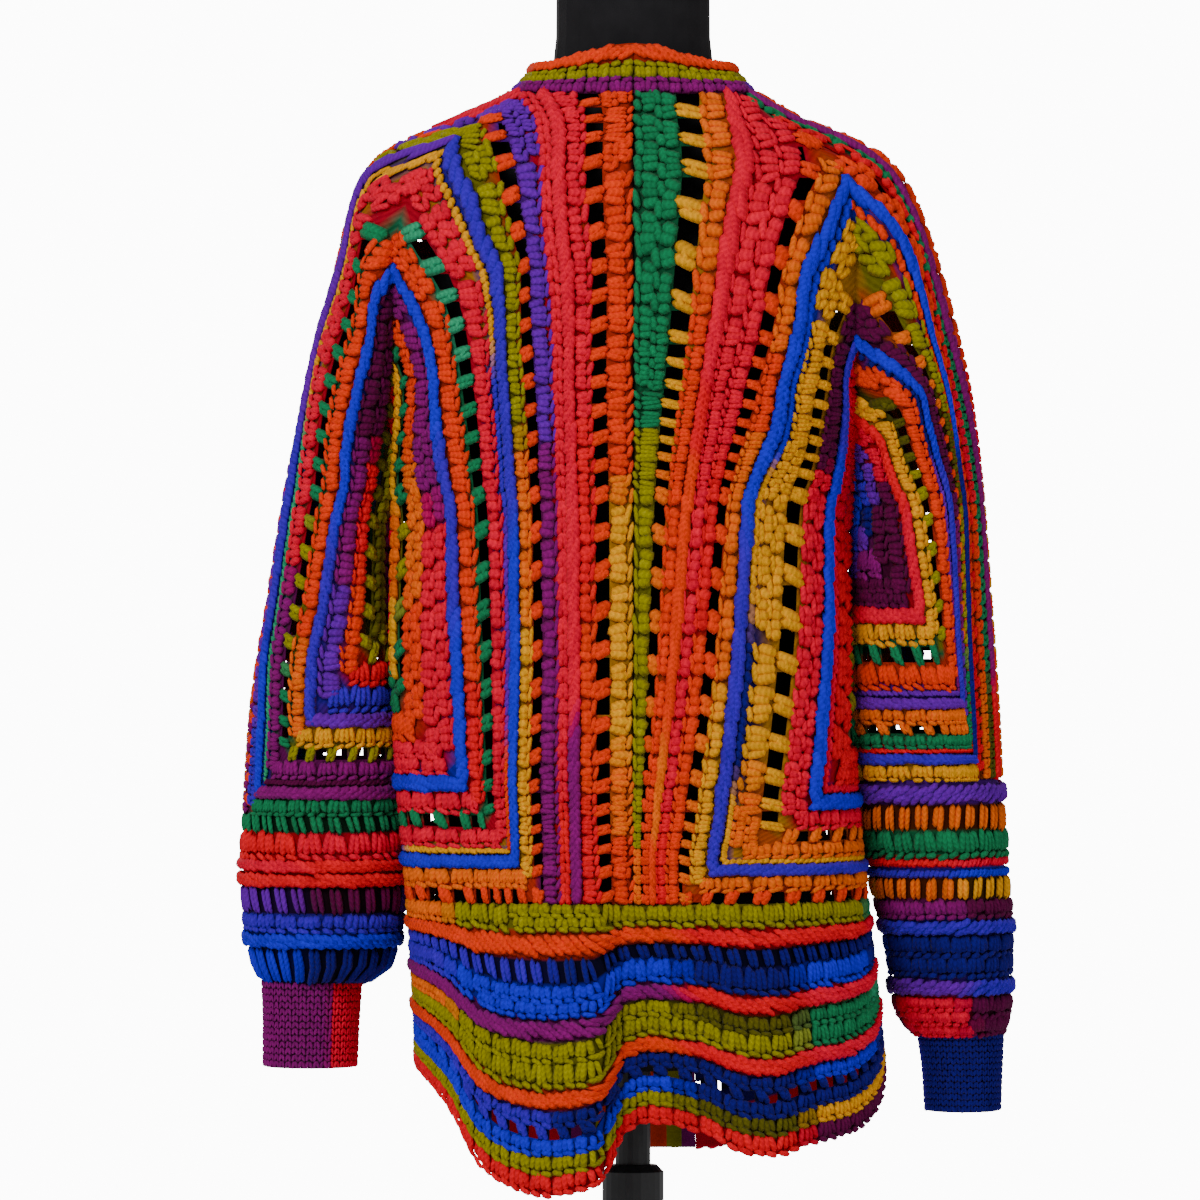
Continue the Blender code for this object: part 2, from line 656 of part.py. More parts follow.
def tube_wall(name, side, sections, ridges, extra, look):
    top = sections[0].z
    bottom = sections[-1].z

    def place(flat):
        angle = flat[:, 0]
        z = top + (bottom - top) * flat[:, 1] - (SEAM * (1 - flat[:, 1]))
        inner = column(sections, "z", "inner", z)
        outer = column(sections, "z", "outer", z)
        y = column(sections, "z", "mid_y", z) + column(sections, "z", "depth", z) * np.sin(angle)
        x = (inner + outer) / 2 + (outer - inner) / 2 * np.cos(angle)
        return np.stack([side * x, y, z], -1)

    def fix(flat):
        level_rows = np.isclose(flat[:, 1], 0) | np.isclose(flat[:, 1], 1)

        def level(normals):
            normals[level_rows, 2] = 0

        return level

    def outward(points):
        return (points - [side * TUBE_AXIS[0], TUBE_AXIS[1], 0]) * [1, 1, 0]

    us = np.linspace(0, 2 * pi, TUBE_SIDES, endpoint=False)
    vs = ridge_levels(ridges, BAND_RIDGE_HALF, extra)
    return grid_wall(
        name, place, us, vs, True, lambda flat: ridge_lift(flat[:, 1], ridges), look, outward, fix,
    )


def band_path(side):
    """Seam of the front and neck band on one side, from the hem up to the centre back, and steps past its corner."""
    hem = hem_place(np.array([(-2.0 * side, v) for v in (1.0, 0.76, 0.52, 0.27, 0.0)]))
    edge_rows = steps(-HEM_ROWS, TOP_ROWS, GRID * 0.6)[1:]
    halfway = (ROWS + TOP_ROWS) / 2
    front = [(ROWS, b) for b in edge_rows] + [(halfway, TOP_ROWS), (TOP_ROWS, TOP_ROWS), (TOP_ROWS, halfway)]
    back = [(TOP_ROWS, ROWS), (TOP_ROWS, halfway), (TOP_ROWS, TOP_ROWS), (halfway, TOP_ROWS), (ROWS, TOP_ROWS)]
    up = place_layer(np.array(front), side, -1)
    over = place_layer(np.array(back), side, 1)
    over[-1, 0] = side * SEAM / 2
    points = np.vstack([hem, up, over])
    past_corner = np.arange(len(points)) - (len(hem) + len(edge_rows) - 1)
    return points, past_corner


def front_band(side, look):
    """Half of the front and neck band: up one front edge and round the neck to the centre back."""
    path, past_corner = band_path(side)
    neck = ease(past_corner / NECK_BLEND + 1)
    inward = ([0, NECK_MID_Y, 0] - path) * [1, 1, 0]
    inward[-1, 0] = 0
    inward /= np.linalg.norm(inward, axis=1, keepdims=True)
    across = np.zeros_like(path)
    across[:, 0] = -np.sign(path[:, 0])
    aside = ease(np.abs(path[:, 0]) / NECK_HALF_WIDTH)[:, None]
    lean = BAND_LEAN[0] + (BAND_LEAN[1] - BAND_LEAN[0]) * aside
    rise = BAND_RISE[0] + (BAND_RISE[1] - BAND_RISE[0]) * aside
    neck_way = inward * lean + [0, 0, 1] * rise
    way = across * BAND_WIDTH * (1 - neck[:, None]) + neck_way * neck[:, None]
    seam = across * SEAM * (past_corner <= 0)[:, None] + [0, 0, SEAM] * (past_corner >= 0)[:, None]
    rows = [path + seam + way * share for share in BAND_SHARES]
    points = np.vstack(rows)
    count = len(path)
    triangles = []
    for j in range(len(BAND_SHARES) - 1):
        for i in range(count - 1):
            one, two = j * count + i, j * count + i + 1
            triangles += [(one, two, two + count), (one, two + count, one + count)]
    lift = np.full(len(points), CLOTH)

    def fix(normals):
        on_neck = np.flatnonzero(past_corner >= 0)
        on_edge = np.flatnonzero(past_corner <= 0)
        normals[on_neck, 2] = np.maximum(normals[on_neck, 2], 0)
        outer_way = -across[on_edge, 0]
        normals[on_edge, 0] = outer_way * np.minimum(normals[on_edge, 0] * outer_way, 0)
        normals[count - 1 :: count, 0] = 0

    def outward(where):
        return where * [1, 1, 0]

    return wall("front_neck_band_" + side_word(side), points, np.array(triangles), lift, look, fix, outward)


def form_torso(look):
    """The dress form's body and neck, one closed loft of level sections."""
    mesh = bmesh.new()
    heights = sorted({row.z for row in FORM} | set(FORM_FINER))
    rings = []
    for z in heights:
        half = float(column(FORM, "z", "half_width", z))
        back = float(column(FORM, "z", "back", z))
        front = float(column(FORM, "z", "front", z))
        mid = (back + front) / 2
        deep = (back - front) / 2
        ring = []
        for i in range(FORM_SIDES):
            angle = 2 * pi * i / FORM_SIDES
            ring.append(mesh.verts.new((half * cos(angle), mid + deep * sin(angle), z)))
        rings.append(ring)
    for low, high in zip(rings, rings[1:]):
        for i in range(FORM_SIDES):
            j = (i + 1) % FORM_SIDES
            mesh.faces.new((low[i], low[j], high[j], high[i]))
    mesh.faces.new(rings[0][::-1])
    mesh.faces.new(rings[-1])
    data = bpy.data.meshes.new("form_torso")
    mesh.to_mesh(data)
    mesh.free()
    return add_object("form_torso", data, look, 50)


def turned(name, profile, place, look, sides=32):
    """A turned piece: an outer profile from top to bottom, with the Screw modifier."""
    mesh = bpy.data.meshes.new(name)
    mesh.from_pydata([(r, 0, z) for r, z in profile], [(i, i + 1) for i in range(len(profile) - 1)], [])
    made = bpy.data.objects.new(name, mesh)
    made.location = place
    mesh.materials.append(look)
    screw = made.modifiers.new("turn", "SCREW")
    screw.steps = sides
    screw.render_steps = sides
    screw.use_merge_vertices = True
    screw.merge_threshold = 0.00001
    CARDIGAN.objects.link(made)
    return made


def form_fittings(metal):
    top = FORM[-1].z + SEAM
    cap = [
        (0, CAP_HEIGHT), (CAP_RADIUS - CAP_ROUND, CAP_HEIGHT), (CAP_RADIUS, CAP_HEIGHT - CAP_ROUND),
        (CAP_RADIUS, 0), (0, 0),
    ]
    turned("form_neck_cap", cap, (0, NECK_MID_Y, top), metal)
    under = FORM[0].z - SEAM
    plate = [(0, 0), (PLATE_RADIUS, 0), (PLATE_RADIUS, -PLATE_HEIGHT), (0, -PLATE_HEIGHT)]
    turned("form_plate", plate, (0, 0, under), metal)
    pole_top = under - PLATE_HEIGHT - SEAM
    pole_bottom = BASE_HEIGHT + BOSS_HEIGHT + SEAM
    collar_low = COLLAR_TOP - COLLAR_HEIGHT
    upper = [(0, pole_top), (POLE_RADIUS, pole_top), (POLE_RADIUS, COLLAR_TOP + SEAM), (0, COLLAR_TOP + SEAM)]
    turned("stand_pole_upper", upper, (0, 0, 0), metal, 20)
    collar = [
        (0, COLLAR_TOP), (COLLAR_RADIUS - COLLAR_ROUND, COLLAR_TOP), (COLLAR_RADIUS, COLLAR_TOP - COLLAR_ROUND),
        (COLLAR_RADIUS, collar_low + COLLAR_TAPER), (COLLAR_RADIUS - COLLAR_ROUND, collar_low), (0, collar_low),
    ]
    turned("stand_collar", collar, (0, 0, 0), metal, 24)
    lower_radius = POLE_RADIUS + TUBE_WALL
    low_top = collar_low - SEAM
    lower = [(0, low_top), (lower_radius, low_top), (lower_radius, pole_bottom), (0, pole_bottom)]
    turned("stand_pole_lower", lower, (0, 0, 0), metal, 20)
    base = [
        (0, BASE_HEIGHT + BOSS_HEIGHT), (BOSS_RADIUS - BOSS_ROUND, BASE_HEIGHT + BOSS_HEIGHT),
        (BOSS_RADIUS, BASE_HEIGHT + BOSS_HEIGHT - BOSS_ROUND),
        (BOSS_RADIUS + BOSS_FLARE, BASE_HEIGHT + BOSS_FLARE),
        (BASE_RADIUS - BASE_ROUND, BASE_HEIGHT), (BASE_RADIUS, BASE_HEIGHT - BASE_ROUND), (BASE_RADIUS, 0), (0, 0),
    ]
    turned("stand_base", base, (0, 0, 0), metal, 36)


for old in list(bpy.data.objects):
    bpy.data.objects.remove(old)
CARDIGAN = bpy.data.collections.new("crochet_cardigan_on_form")
bpy.context.scene.collection.children.link(CARDIGAN)

WOOL = {
    1: material("wool_left", (0.80, 0.16, 0.04)),
    -1: material("wool_right", (0.85, 0.24, 0.03)),
}
BAND_WOOL = material("wool_bands", (0.10, 0.06, 0.55))
CUFF_WOOL = material("wool_cuffs", (0.35, 0.02, 0.22))
JERSEY = material("form_jersey", (0.012, 0.012, 0.014), 0.85)
METAL = material("stand_black", (0.015, 0.015, 0.016), 0.35, 0.6)

for one_side in (1, -1):
    for one_face in (1, -1):
        hexagon_layer(one_side, one_face, WOOL[one_side])
    tube_wall(
        "sleeve_band_" + side_word(one_side), one_side, (cuff_slice(one_side), *SLEEVE_TUBES[one_side]),
        BAND_RIDGES, (BAND_FULL,), BAND_WOOL,
    )
    tube_wall("cuff_" + side_word(one_side), one_side, CUFF_TUBES[one_side], (), (CUFF_MIDDLE,), CUFF_WOOL)
    front_band(one_side, BAND_WOOL)
hem_band(BAND_WOOL)
form_torso(JERSEY)
form_fittings(METAL)
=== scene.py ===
"""Looks of a crocheted hexagon cardigan on a dress form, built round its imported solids.

Metres, +Z up, the cardigan's front faces -Y and its left side is at +X. Each cloth solid is replaced by a
thin shell with its open gaps, and by crochet stitches: short yarn strands laid on the shell, row by row.
"""

from collections import namedtuple
from math import atan, pi, radians

import bpy
import numpy as np
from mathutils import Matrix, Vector


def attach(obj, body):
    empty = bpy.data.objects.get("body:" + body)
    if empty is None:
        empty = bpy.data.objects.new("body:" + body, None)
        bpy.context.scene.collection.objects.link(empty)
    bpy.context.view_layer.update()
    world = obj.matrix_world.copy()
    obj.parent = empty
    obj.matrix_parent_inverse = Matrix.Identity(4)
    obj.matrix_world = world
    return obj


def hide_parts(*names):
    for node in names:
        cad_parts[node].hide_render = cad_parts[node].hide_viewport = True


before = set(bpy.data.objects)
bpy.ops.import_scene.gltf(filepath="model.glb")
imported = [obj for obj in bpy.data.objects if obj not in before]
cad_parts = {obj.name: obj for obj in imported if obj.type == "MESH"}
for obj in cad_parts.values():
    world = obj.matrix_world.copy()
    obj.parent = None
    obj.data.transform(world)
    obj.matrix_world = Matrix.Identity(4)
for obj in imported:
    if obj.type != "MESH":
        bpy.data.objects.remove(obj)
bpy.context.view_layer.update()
chance = np.random.default_rng(11)

# Cloth, as in the solids, but for a sleeve that hangs closer to the body
SEAM = 0.0003
RIDGE = 0.0035
FOLD_ROWS = 2.6
ROWS = 27.0
HEM_ROWS = 20.0
CUFF_ROWS = 19.0
TOP_ROWS = 22.0
UNDERARM = 1.146
UNDERARM_GAP = 0.006
UNDERARM_ARCH = 0.018
VALLEY_LEAN = 0.022
VALLEY_SHARE = 0.28
VALLEY_REACH = 0.12
FOLD_LINE_REACH = 0.10
SLEEVE_AXIS = (0.215, -0.020)
TUBE_AXIS = (0.232, -0.038)


def table(kind, *rows):
    return tuple(kind(*row) for row in rows)


RowHeights = namedtuple("RowHeights", "rows left right")
NECK_LEG = table(
    RowHeights,
    (0.0, UNDERARM, UNDERARM),
    (12.0, 1.307, 1.256),
    (17.5, 1.392, 1.366),
    (22.0, 1.428, 1.428),
)
HEM_LEG = table(
    RowHeights,
    (0.0, UNDERARM, UNDERARM),
    (12.0, 0.939, 0.925),
    (17.5, 0.884, 0.878),
    (20.0, 0.855, 0.855),
)
CUFF_LEG = table(
    RowHeights,
    (0.0, UNDERARM, UNDERARM),
    (12.0, 0.983, 0.995),
    (17.5, 0.931, 0.955),
    (19.0, 0.915, 0.94),
)
BodySlice = namedtuple("BodySlice", "z fold_left fold_right fold_back fold_front back front edge")
BODY = table(
    BodySlice,
    (0.64, 0.158, 0.186, 0.0, 0.0, 0.15, -0.14, 0.046),
    (0.74, 0.154, 0.178, 0.0, 0.0, 0.138, -0.13, 0.045),
    (0.855, 0.16, 0.166, 0.0, 0.0, 0.122, -0.12, 0.043),
    (0.95, 0.168, 0.158, 0.0, 0.0, 0.113, -0.112, 0.042),
    (1.04, 0.172, 0.155, 0.0, 0.0, 0.109, -0.112, 0.042),
    (UNDERARM, 0.1735, 0.157, 0.0, 0.0, 0.11, -0.122, 0.044),
    (1.22, 0.171, 0.158, 0.03, -0.03, 0.113, -0.12, 0.048),
    (1.31, 0.171, 0.158, 0.053, -0.048, 0.111, -0.105, 0.053),
    (1.366, 0.154, 0.15, 0.066, -0.052, 0.103, -0.085, 0.059),
    (1.392, 0.127, 0.125, 0.069, -0.049, 0.096, -0.07, 0.062),
    (1.41, 0.098, 0.097, 0.067, -0.04, 0.088, -0.056, 0.065),
    (1.428, 0.076, 0.076, 0.058, -0.024, 0.077, -0.038, 0.067),
)
SleeveSlice = namedtuple("SleeveSlice", "z outer_left outer_right line_y bulge")
SLEEVE = table(
    SleeveSlice,
    (0.9, 0.276, 0.262, -0.032, 0.056),
    (0.987, 0.27, 0.258, -0.028, 0.055),
    (1.069, 0.257, 0.252, -0.022, 0.053),
    (UNDERARM, 0.2445, 0.246, -0.016, 0.05),
    (1.211, 0.231, 0.238, -0.01, 0.046),
    (1.3, 0.209, 0.216, -0.004, 0.038),
    (1.362, 0.193, 0.193, 0.002, 0.019),
    (1.382, 0.178, 0.176, 0.004, 0.012),
    (1.391, 0.163, 0.16, 0.006, 0.009),
    (1.408, 0.121, 0.119, 0.009, 0.005),
    (1.428, 0.0835, 0.0835, 0.012, 0.003),
)
HEM_TOP = HEM_LEG[-1].left - SEAM
HEM_BOTTOM_FRONT = 0.668
# Height of the hem's lower edge across the back, from the left side by the centre to the right side
HemEdge = namedtuple("HemEdge", "u z")
HEM_EDGE = table(
    HemEdge,
    (-1.0, 0.74),
    (-0.64, 0.718),
    (-0.48, 0.69),
    (-0.25, 0.674),
    (-0.1, 0.682),
    (0.03, 0.702),
    (0.37, 0.684),
    (0.62, 0.69),
    (0.8, 0.705),
    (1.0, 0.736),
)
# Shares of the way from the fold to the centre for even stops among the rows of the body, at levels of b.
# Below 0 a row is out of sight
ROW_STOPS = (0.0, 0.25, 0.45, 0.65, 0.85, 1.0)
Run = namedtuple("Run", "level zero first second third fourth last", defaults=(1.0,))
LEFT_RUN = table(
    Run,
    (-12.0, -0.25, 0.05, 0.5, 0.662, 0.838),
    (-6.0, -0.25, 0.05, 0.49, 0.68, 0.842),
    (0.0, -0.25, 0.02, 0.435, 0.668, 0.839),
    (6.0, 0.0, 0.3, 0.54, 0.715, 0.86),
    (12.0, 0.0, 0.46, 0.67, 0.77, 0.9),
    (16.0, 0.0, 0.5, 0.67, 0.775, 0.9),
    (22.0, 0.0, 0.35, 0.55, 0.75, 0.9),
)
RIGHT_RUN = table(
    Run,
    (-16.0, -0.3, 0.02, 0.43, 0.78, 0.948),
    (-11.3, -0.3, 0.0, 0.415, 0.745, 0.93),
    (-6.2, -0.5, -0.16, 0.33, 0.69, 0.885),
    (0.0, -0.5, -0.2, 0.232, 0.645, 0.84),
    (4.5, -0.22, 0.03, 0.35, 0.66, 0.844),
    (9.0, 0.0, 0.22, 0.49, 0.69, 0.85),
    (14.5, 0.0, 0.41, 0.57, 0.71, 0.86),
    (22.0, 0.0, 0.3, 0.5, 0.7, 0.87),
)
BODY_RUNS = {1: LEFT_RUN, -1: RIGHT_RUN}

Flute = namedtuple("Flute", "inner rise outer fall depth")
FLUTES = table(
    Flute,
    (0.01, 0.022, 0.15, 0.06, 0.05),
    (-0.052, 0.026, 0.006, 0.016, -0.008),
    (-0.13, 0.036, -0.046, 0.036, 0.014),
)
FLUTE_TOP = 0.930
FLUTE_FULL = 0.720
FLUTE_DIP = 0.42
FLUTE_DIP_FROM = 0.3
TubeSlice = namedtuple("TubeSlice", "z inner outer mid_y depth")
SLEEVE_TUBES = {
    1: table(
        TubeSlice,
        (0.87, 0.165, 0.277, -0.034, 0.056),
        (0.83, 0.171, 0.274, -0.037, 0.0545),
        (0.806, 0.178, 0.269, -0.039, 0.048),
        (0.794, 0.196, 0.263, -0.04, 0.036),
    ),
    -1: table(
        TubeSlice,
        (0.88, 0.171, 0.265, -0.036, 0.056),
        (0.82, 0.186, 0.268, -0.042, 0.055),
        (0.775, 0.193, 0.267, -0.046, 0.049),
        (0.757, 0.206, 0.263, -0.048, 0.036),
    ),
}
CUFF_TUBES = {
    1: table(
        TubeSlice,
        (0.7937, 0.1985, 0.263, -0.04, 0.035),
        (0.765, 0.2005, 0.262, -0.041, 0.033),
        (0.732, 0.202, 0.262, -0.042, 0.033),
    ),
    -1: table(
        TubeSlice,
        (0.7567, 0.2085, 0.263, -0.048, 0.035),
        (0.73, 0.212, 0.262, -0.049, 0.033),
        (0.7, 0.214, 0.261, -0.05, 0.032),
    ),
}
BAND_WIDTH = 0.034
BAND_RISE = (0.036, 0.020)
BAND_LEAN = (0.006, 0.018)
NECK_HALF_WIDTH = 0.0835
NECK_BLEND = 4
NECK_STEPS = 9
NECK_OVERLAP = 1.008
NECK_MID_Y = 0.008
NECK_HEM_STOPS = (1.0, 0.76, 0.52, 0.27, 0.0)
EDGE_STEP = 2.4

# Thickness of the shell under the stitches, and how high a stitch's middle lies above the inner surface
SHELL_LOW = 0.0004
SHELL_HIGH = 0.0017
STITCH_LIFT = 0.0030

# Yarn colours by letter, in linear light. A yarn keeps its colour for most of its share of a row, then blends
# into the next
COLOUR_HOLD = 0.70
COLOUR_BLEND = 0.30
LAST_SHARE = 0.9999
YARN = {
    "C": (0.86, 0.0001, 0.036),
    "R": (0.87, 0.0020, 0.016),
    "V": (0.92, 0.045, 0.002),
    "O": (0.92, 0.150, 0.002),
    "G": (0.86, 0.370, 0.002),
    "L": (0.310, 0.280, 0.004),
    "K": (0.110, 0.098, 0.004),
    "E": (0.012, 0.220, 0.080),
    "T": (0.030, 0.340, 0.160),
    "B": (0.014, 0.012, 0.720),
    "I": (0.048, 0.004, 0.540),
    "N": (0.012, 0.004, 0.190),
    "P": (0.145, 0.0005, 0.430),
    "M": (0.250, 0.001, 0.170),
    "D": (0.120, 0.001, 0.055),
}

# Rows of a hexagon from the underarm out: kind of stitch, then the yarns along the body from the hem up,
# along the sleeve from the cuff up, and across the two lower legs
Row = namedtuple("Row", "low high kind body sleeve hem cuff")
LEFT_ROWS = table(
    Row,
    (0.3, 1.7, "dc", "O", "O", "O", "O"),
    (1.7, 3.0, "dc", "BI", "B", "B", "B"),
    (3.0, 4.2, "dc", "P", "P", "P", "P"),
    (4.2, 5.4, "mesh", "E", "E", "E", "E"),
    (5.4, 6.7, "dc", "CR", "DK", "C", "K"),
    (6.7, 7.7, "dc", "GOGG", "KL", "GE", "KL"),
    (7.7, 8.7, "mesh", "ELEE", "LK", "E", "L"),
    (8.7, 9.9, "dc", "VOV", "VRD", "V", "VR"),
    (9.9, 11.5, "dc", "CCMM", "PMD", "C", "PI"),
    (11.55, 12.45, "ridge", "BIB", "IB", "B", "P"),
    (12.45, 13.9, "dc", "RVVV", "OVVV", "RC", "OG"),
    (13.9, 15.1, "mesh", "EEET", "ELEE", "E", "L"),
    (15.1, 16.5, "dc", "CCCC", "MMCCC", "C", "M"),
    (16.5, 17.05, "sc", "VPIG", "TTG", "IG", "D"),
    (17.05, 17.95, "ridge", "BBII", "BIP", "B", "M"),
    (17.95, 19.1, "dc", "GGOLL", "IPPLL", "O", "E"),
    (19.1, 20.1, "mesh", "VVVV", "VVRV", "V", "V"),
    (20.1, 21.7, "dc", "MMMMPPP", "MMPP", "G", "V"),
    (21.7, 22.55, "dc", "RCCCC", "CCC", "G", "C"),
    (22.55, 23.45, "ridge", "MMCCCCC", "CCRC", "G", "C"),
    (23.45, 24.5, "dc", "RVRCC", "RC", "G", "C"),
    (24.5, 25.5, "mesh", "VVVVV", "VVV", "G", "C"),
    (25.5, 26.9, "dc", "VOGGVVVV", "OVGV", "G", "C"),
)
RIGHT_ROWS = table(
    Row,
    (0.3, 1.8, "dc", "B", "B", "B", "B"),
    (1.8, 3.2, "dc", "P", "NI", "P", "IP"),
    (3.2, 4.6, "dc", "D", "DP", "D", "PM"),
    (4.6, 6.1, "dc", "R", "DDC", "R", "D"),
    (6.1, 7.0, "ridge", "C", "CR", "C", "C"),
    (7.0, 8.2, "dc", "G", "GG", "G", "G"),
    (8.2, 9.4, "mesh", "L", "LLK", "E", "E"),
    (9.4, 11.0, "dc", "RC", "VVV", "R", "V"),
    (11.0, 11.55, "sc", "C", "MPN", "C", "P"),
    (11.55, 12.45, "ridge", "BBI", "IIB", "B", "P"),
    (12.45, 13.9, "dc", "CCCDD", "PMDD", "C", "O"),
    (13.9, 15.1, "mesh", "GGGG", "EOVO", "GO", "O"),
    (15.1, 16.5, "dc", "OGGGG", "ELKL", "O", "E"),
    (16.5, 17.05, "sc", "GNGBB", "VVV", "LG", "R"),
    (17.05, 17.95, "ridge", "IIBB", "NNB", "I", "I"),
    (17.95, 19.1, "dc", "GGOOVO", "RVV", "O", "G"),
    (19.1, 20.1, "mesh", "OOVVVV", "RRV", "V", "G"),
    (20.1, 21.3, "dc", "VVRCC", "OVCR", "G", "D"),
    (21.3, 22.55, "dc", "RCCCC", "KEEE", "G", "D"),
    (22.55, 23.45, "ridge", "VOVVRCC", "RMMM", "G", "I"),
    (23.45, 24.5, "dc", "VVVVVO", "RMM", "G", "I"),
    (24.5, 25.5, "mesh", "VVOOGGG", "VRV", "G", "I"),
    (25.5, 26.9, "dc", "OLLLLEEE", "OGRV", "G", "I"),
)
HEXAGON_ROWS = {1: LEFT_ROWS, -1: RIGHT_ROWS}

# Rows of a band from its upper seam down. The hem's yarns run from the left front edge round to the right one
BandRow = namedtuple("BandRow", "low high kind yarns")


def band_rows(*rows):
    """Rows of a band from where each ends, its kind of stitch and its yarns."""
    lows = [0.0] + [high for high, _, _ in rows]
    return [BandRow(low, *row) for low, row in zip(lows, rows)]


HEM = band_rows(
    (0.095, "dc", "GGGOLLLLEEG"),
    (0.18, "ridge", "VVVVVVRRCCV"),
    (0.25, "dots", "PPPIINNNNNI"),
    (0.355, "dc", "PPIIBBNBNNN"),
    (0.44, "ridge", "MMMMMMRCCCR"),
    (0.51, "dc", "GGGOLLKETEE"),
    (0.6, "dc", "GGGLLLLEEEE"),
    (0.68, "ridge", "VVVVVVRCCCR"),
    (0.735, "dc", "PPIIINNBNNN"),
    (0.785, "mesh", "IIBBINNNNNN"),
    (0.85, "dc", "IIBBBBNNNNN"),
    (0.92, "dc", "LLLLLLKGGRR"),
    (1.0, "dc", "CCCRRRRDDCC"),
)
SLEEVE_BAND_ROWS = {
    1: band_rows(
        (0.11, "dots", "EETE"),
        (0.26, "dc", "RCRR"),
        (0.34, "ridge", "CRCC"),
        (0.43, "ridge", "RRMC"),
        (0.59, "dots", "PDIP"),
        (0.69, "dc", "IINI"),
        (0.79, "ridge", "BBNB"),
        (1.0, "dots", "BNBB"),
    ),
    -1: band_rows(
        (0.1, "ridge", "PPPM"),
        (0.2, "dots", "OOVO"),
        (0.3, "dc", "EEEE"),
        (0.345, "sc", "CRCC"),
        (0.385, "sc", "BIBB"),
        (0.47, "dots", "GOGO"),
        (0.54, "dc", "DMDD"),
        (0.61, "ridge", "IIPI"),
        (0.77, "dc", "NNBN"),
        (0.85, "ridge", "IPNI"),
        (1.0, "dc", "DCDD"),
    ),
}
NECK_ROWS = band_rows(
    (0.3, "dc", "MIMVRNCMMPM"),
    (0.62, "dc", "LLGLELGLLLL"),
    (1.0, "ridge", "VRVVRVVVRVV"),
)


def smooth(x, knots, values):
    """A smooth curve through a short table; outside it, the end value."""
    knots = np.asarray(knots, float)
    values = np.asarray(values, float)
    rise = np.diff(values) / np.diff(knots)
    same_way = rise[:-1] * rise[1:] > 0
    both = np.where(same_way, rise[:-1] + rise[1:], 1)
    slopes = np.concatenate([rise[:1], np.where(same_way, 2 * rise[:-1] * rise[1:] / both, 0), rise[-1:]])
    x = np.clip(np.asarray(x, float), knots[0], knots[-1])
    i = np.clip(np.searchsorted(knots, x, side="right") - 1, 0, len(knots) - 2)
    step = knots[i + 1] - knots[i]
    t = (x - knots[i]) / step
    return (
        values[i] * (2 * t**3 - 3 * t**2 + 1)
        + slopes[i] * step * (t**3 - 2 * t**2 + t)
        + values[i + 1] * (3 * t**2 - 2 * t**3)
        + slopes[i + 1] * step * (t**3 - t**2)
    )


def column(table, key, name, x):
    rows = sorted(table, key=lambda row: getattr(row, key))
    return smooth(x, [getattr(row, key) for row in rows], [getattr(row, name) for row in rows])


def ease(t):
    t = np.clip(t, 0, 1)
    return t * t * (3 - 2 * t)


def side_word(side):
    return "left" if side > 0 else "right"


def layer_word(face):
    return "back" if face > 0 else "front"


def leg_height(table, rows, side):
    return column(table, "rows", side_word(side), rows)


def flute(x, z):
    out = np.zeros_like(x)
    for fold in FLUTES:
        out = out + fold.depth * ease((x - fold.inner) / fold.rise) * ease((fold.outer - x) / fold.fall)
    return out * ease((FLUTE_TOP - z) / (FLUTE_TOP - FLUTE_FULL))


def arch(z):
    drop = np.clip((UNDERARM - z) / UNDERARM_ARCH, 0, 1)
    return UNDERARM_GAP * np.sqrt(1 - (1 - drop) ** 2)


def valley(z, share, width):
    near_fold = 4 * share * (1 - share) ** 3
    fades_in = ease((z - UNDERARM + VALLEY_REACH) / VALLEY_REACH)
    return np.minimum(VALLEY_LEAN, VALLEY_SHARE * width) * fades_in * near_fold


def body_ring(z, share, side, face):
    fold = column(BODY, "z", "fold_" + side_word(side), z) - arch(z) / 2
    fold_y = column(BODY, "z", "fold_" + layer_word(face), z)
    reach = column(BODY, "z", layer_word(face), z)
    edge = 0 * z if face > 0 else column(BODY, "z", "edge", z)
    part = share * np.arccos(edge / fold) / (pi / 2)
    angle = part * pi / 2
    x = fold * np.cos(angle) - valley(z, part, fold / 2)
    turn = np.sin(angle)
    y = fold_y + (reach - fold_y) * turn
    if face > 0:
        y = y + flute(side * x, z) * turn
    return np.stack([side * (x + (SEAM / 2 if face > 0 else 0)), y + face * SEAM / 2, z], -1)


def sleeve_edges(z, side):
    word = side_word(side)
    return column(BODY, "z", "fold_" + word, z) + arch(z) / 2, column(SLEEVE, "z", "outer_" + word, z)


def sleeve_ring(z, share, side, face):
    inner, outer = sleeve_edges(z, side)
    below = ease((UNDERARM - z) / FOLD_LINE_REACH)
    line_y = column(SLEEVE, "z", "line_y", z)
    fold_y = column(BODY, "z", "fold_" + layer_word(face), z)
    inner_y = fold_y * (1 - below) + line_y * below
    bulge = column(SLEEVE, "z", "bulge", z)
    angle = share * pi
    across = (1 - np.cos(angle)) / 2 + valley(z, share, outer - inner) / (outer - inner)
    x = inner + (outer - inner) * across
    y = inner_y + (line_y - inner_y) * across + face * bulge * np.sin(angle)
    return np.stack([side * x, y + face * SEAM / 2, z], -1)


def run_share(share, level, runs, stops):
    """Where a row lies between the two edges of its leg at a level, from a table of such runs."""
    levels = np.array([run[0] for run in runs])
    found = np.stack([smooth(share, stops, run[1:]) for run in runs])
    at = np.clip(level, levels[0], levels[-1])
    i = np.clip(np.searchsorted(levels, at, side="right") - 1, 0, len(levels) - 2)
    t = (at - levels[i]) / (levels[i + 1] - levels[i])
    which = np.arange(len(at))
    return found[i, which] * (1 - t) + found[i + 1, which] * t


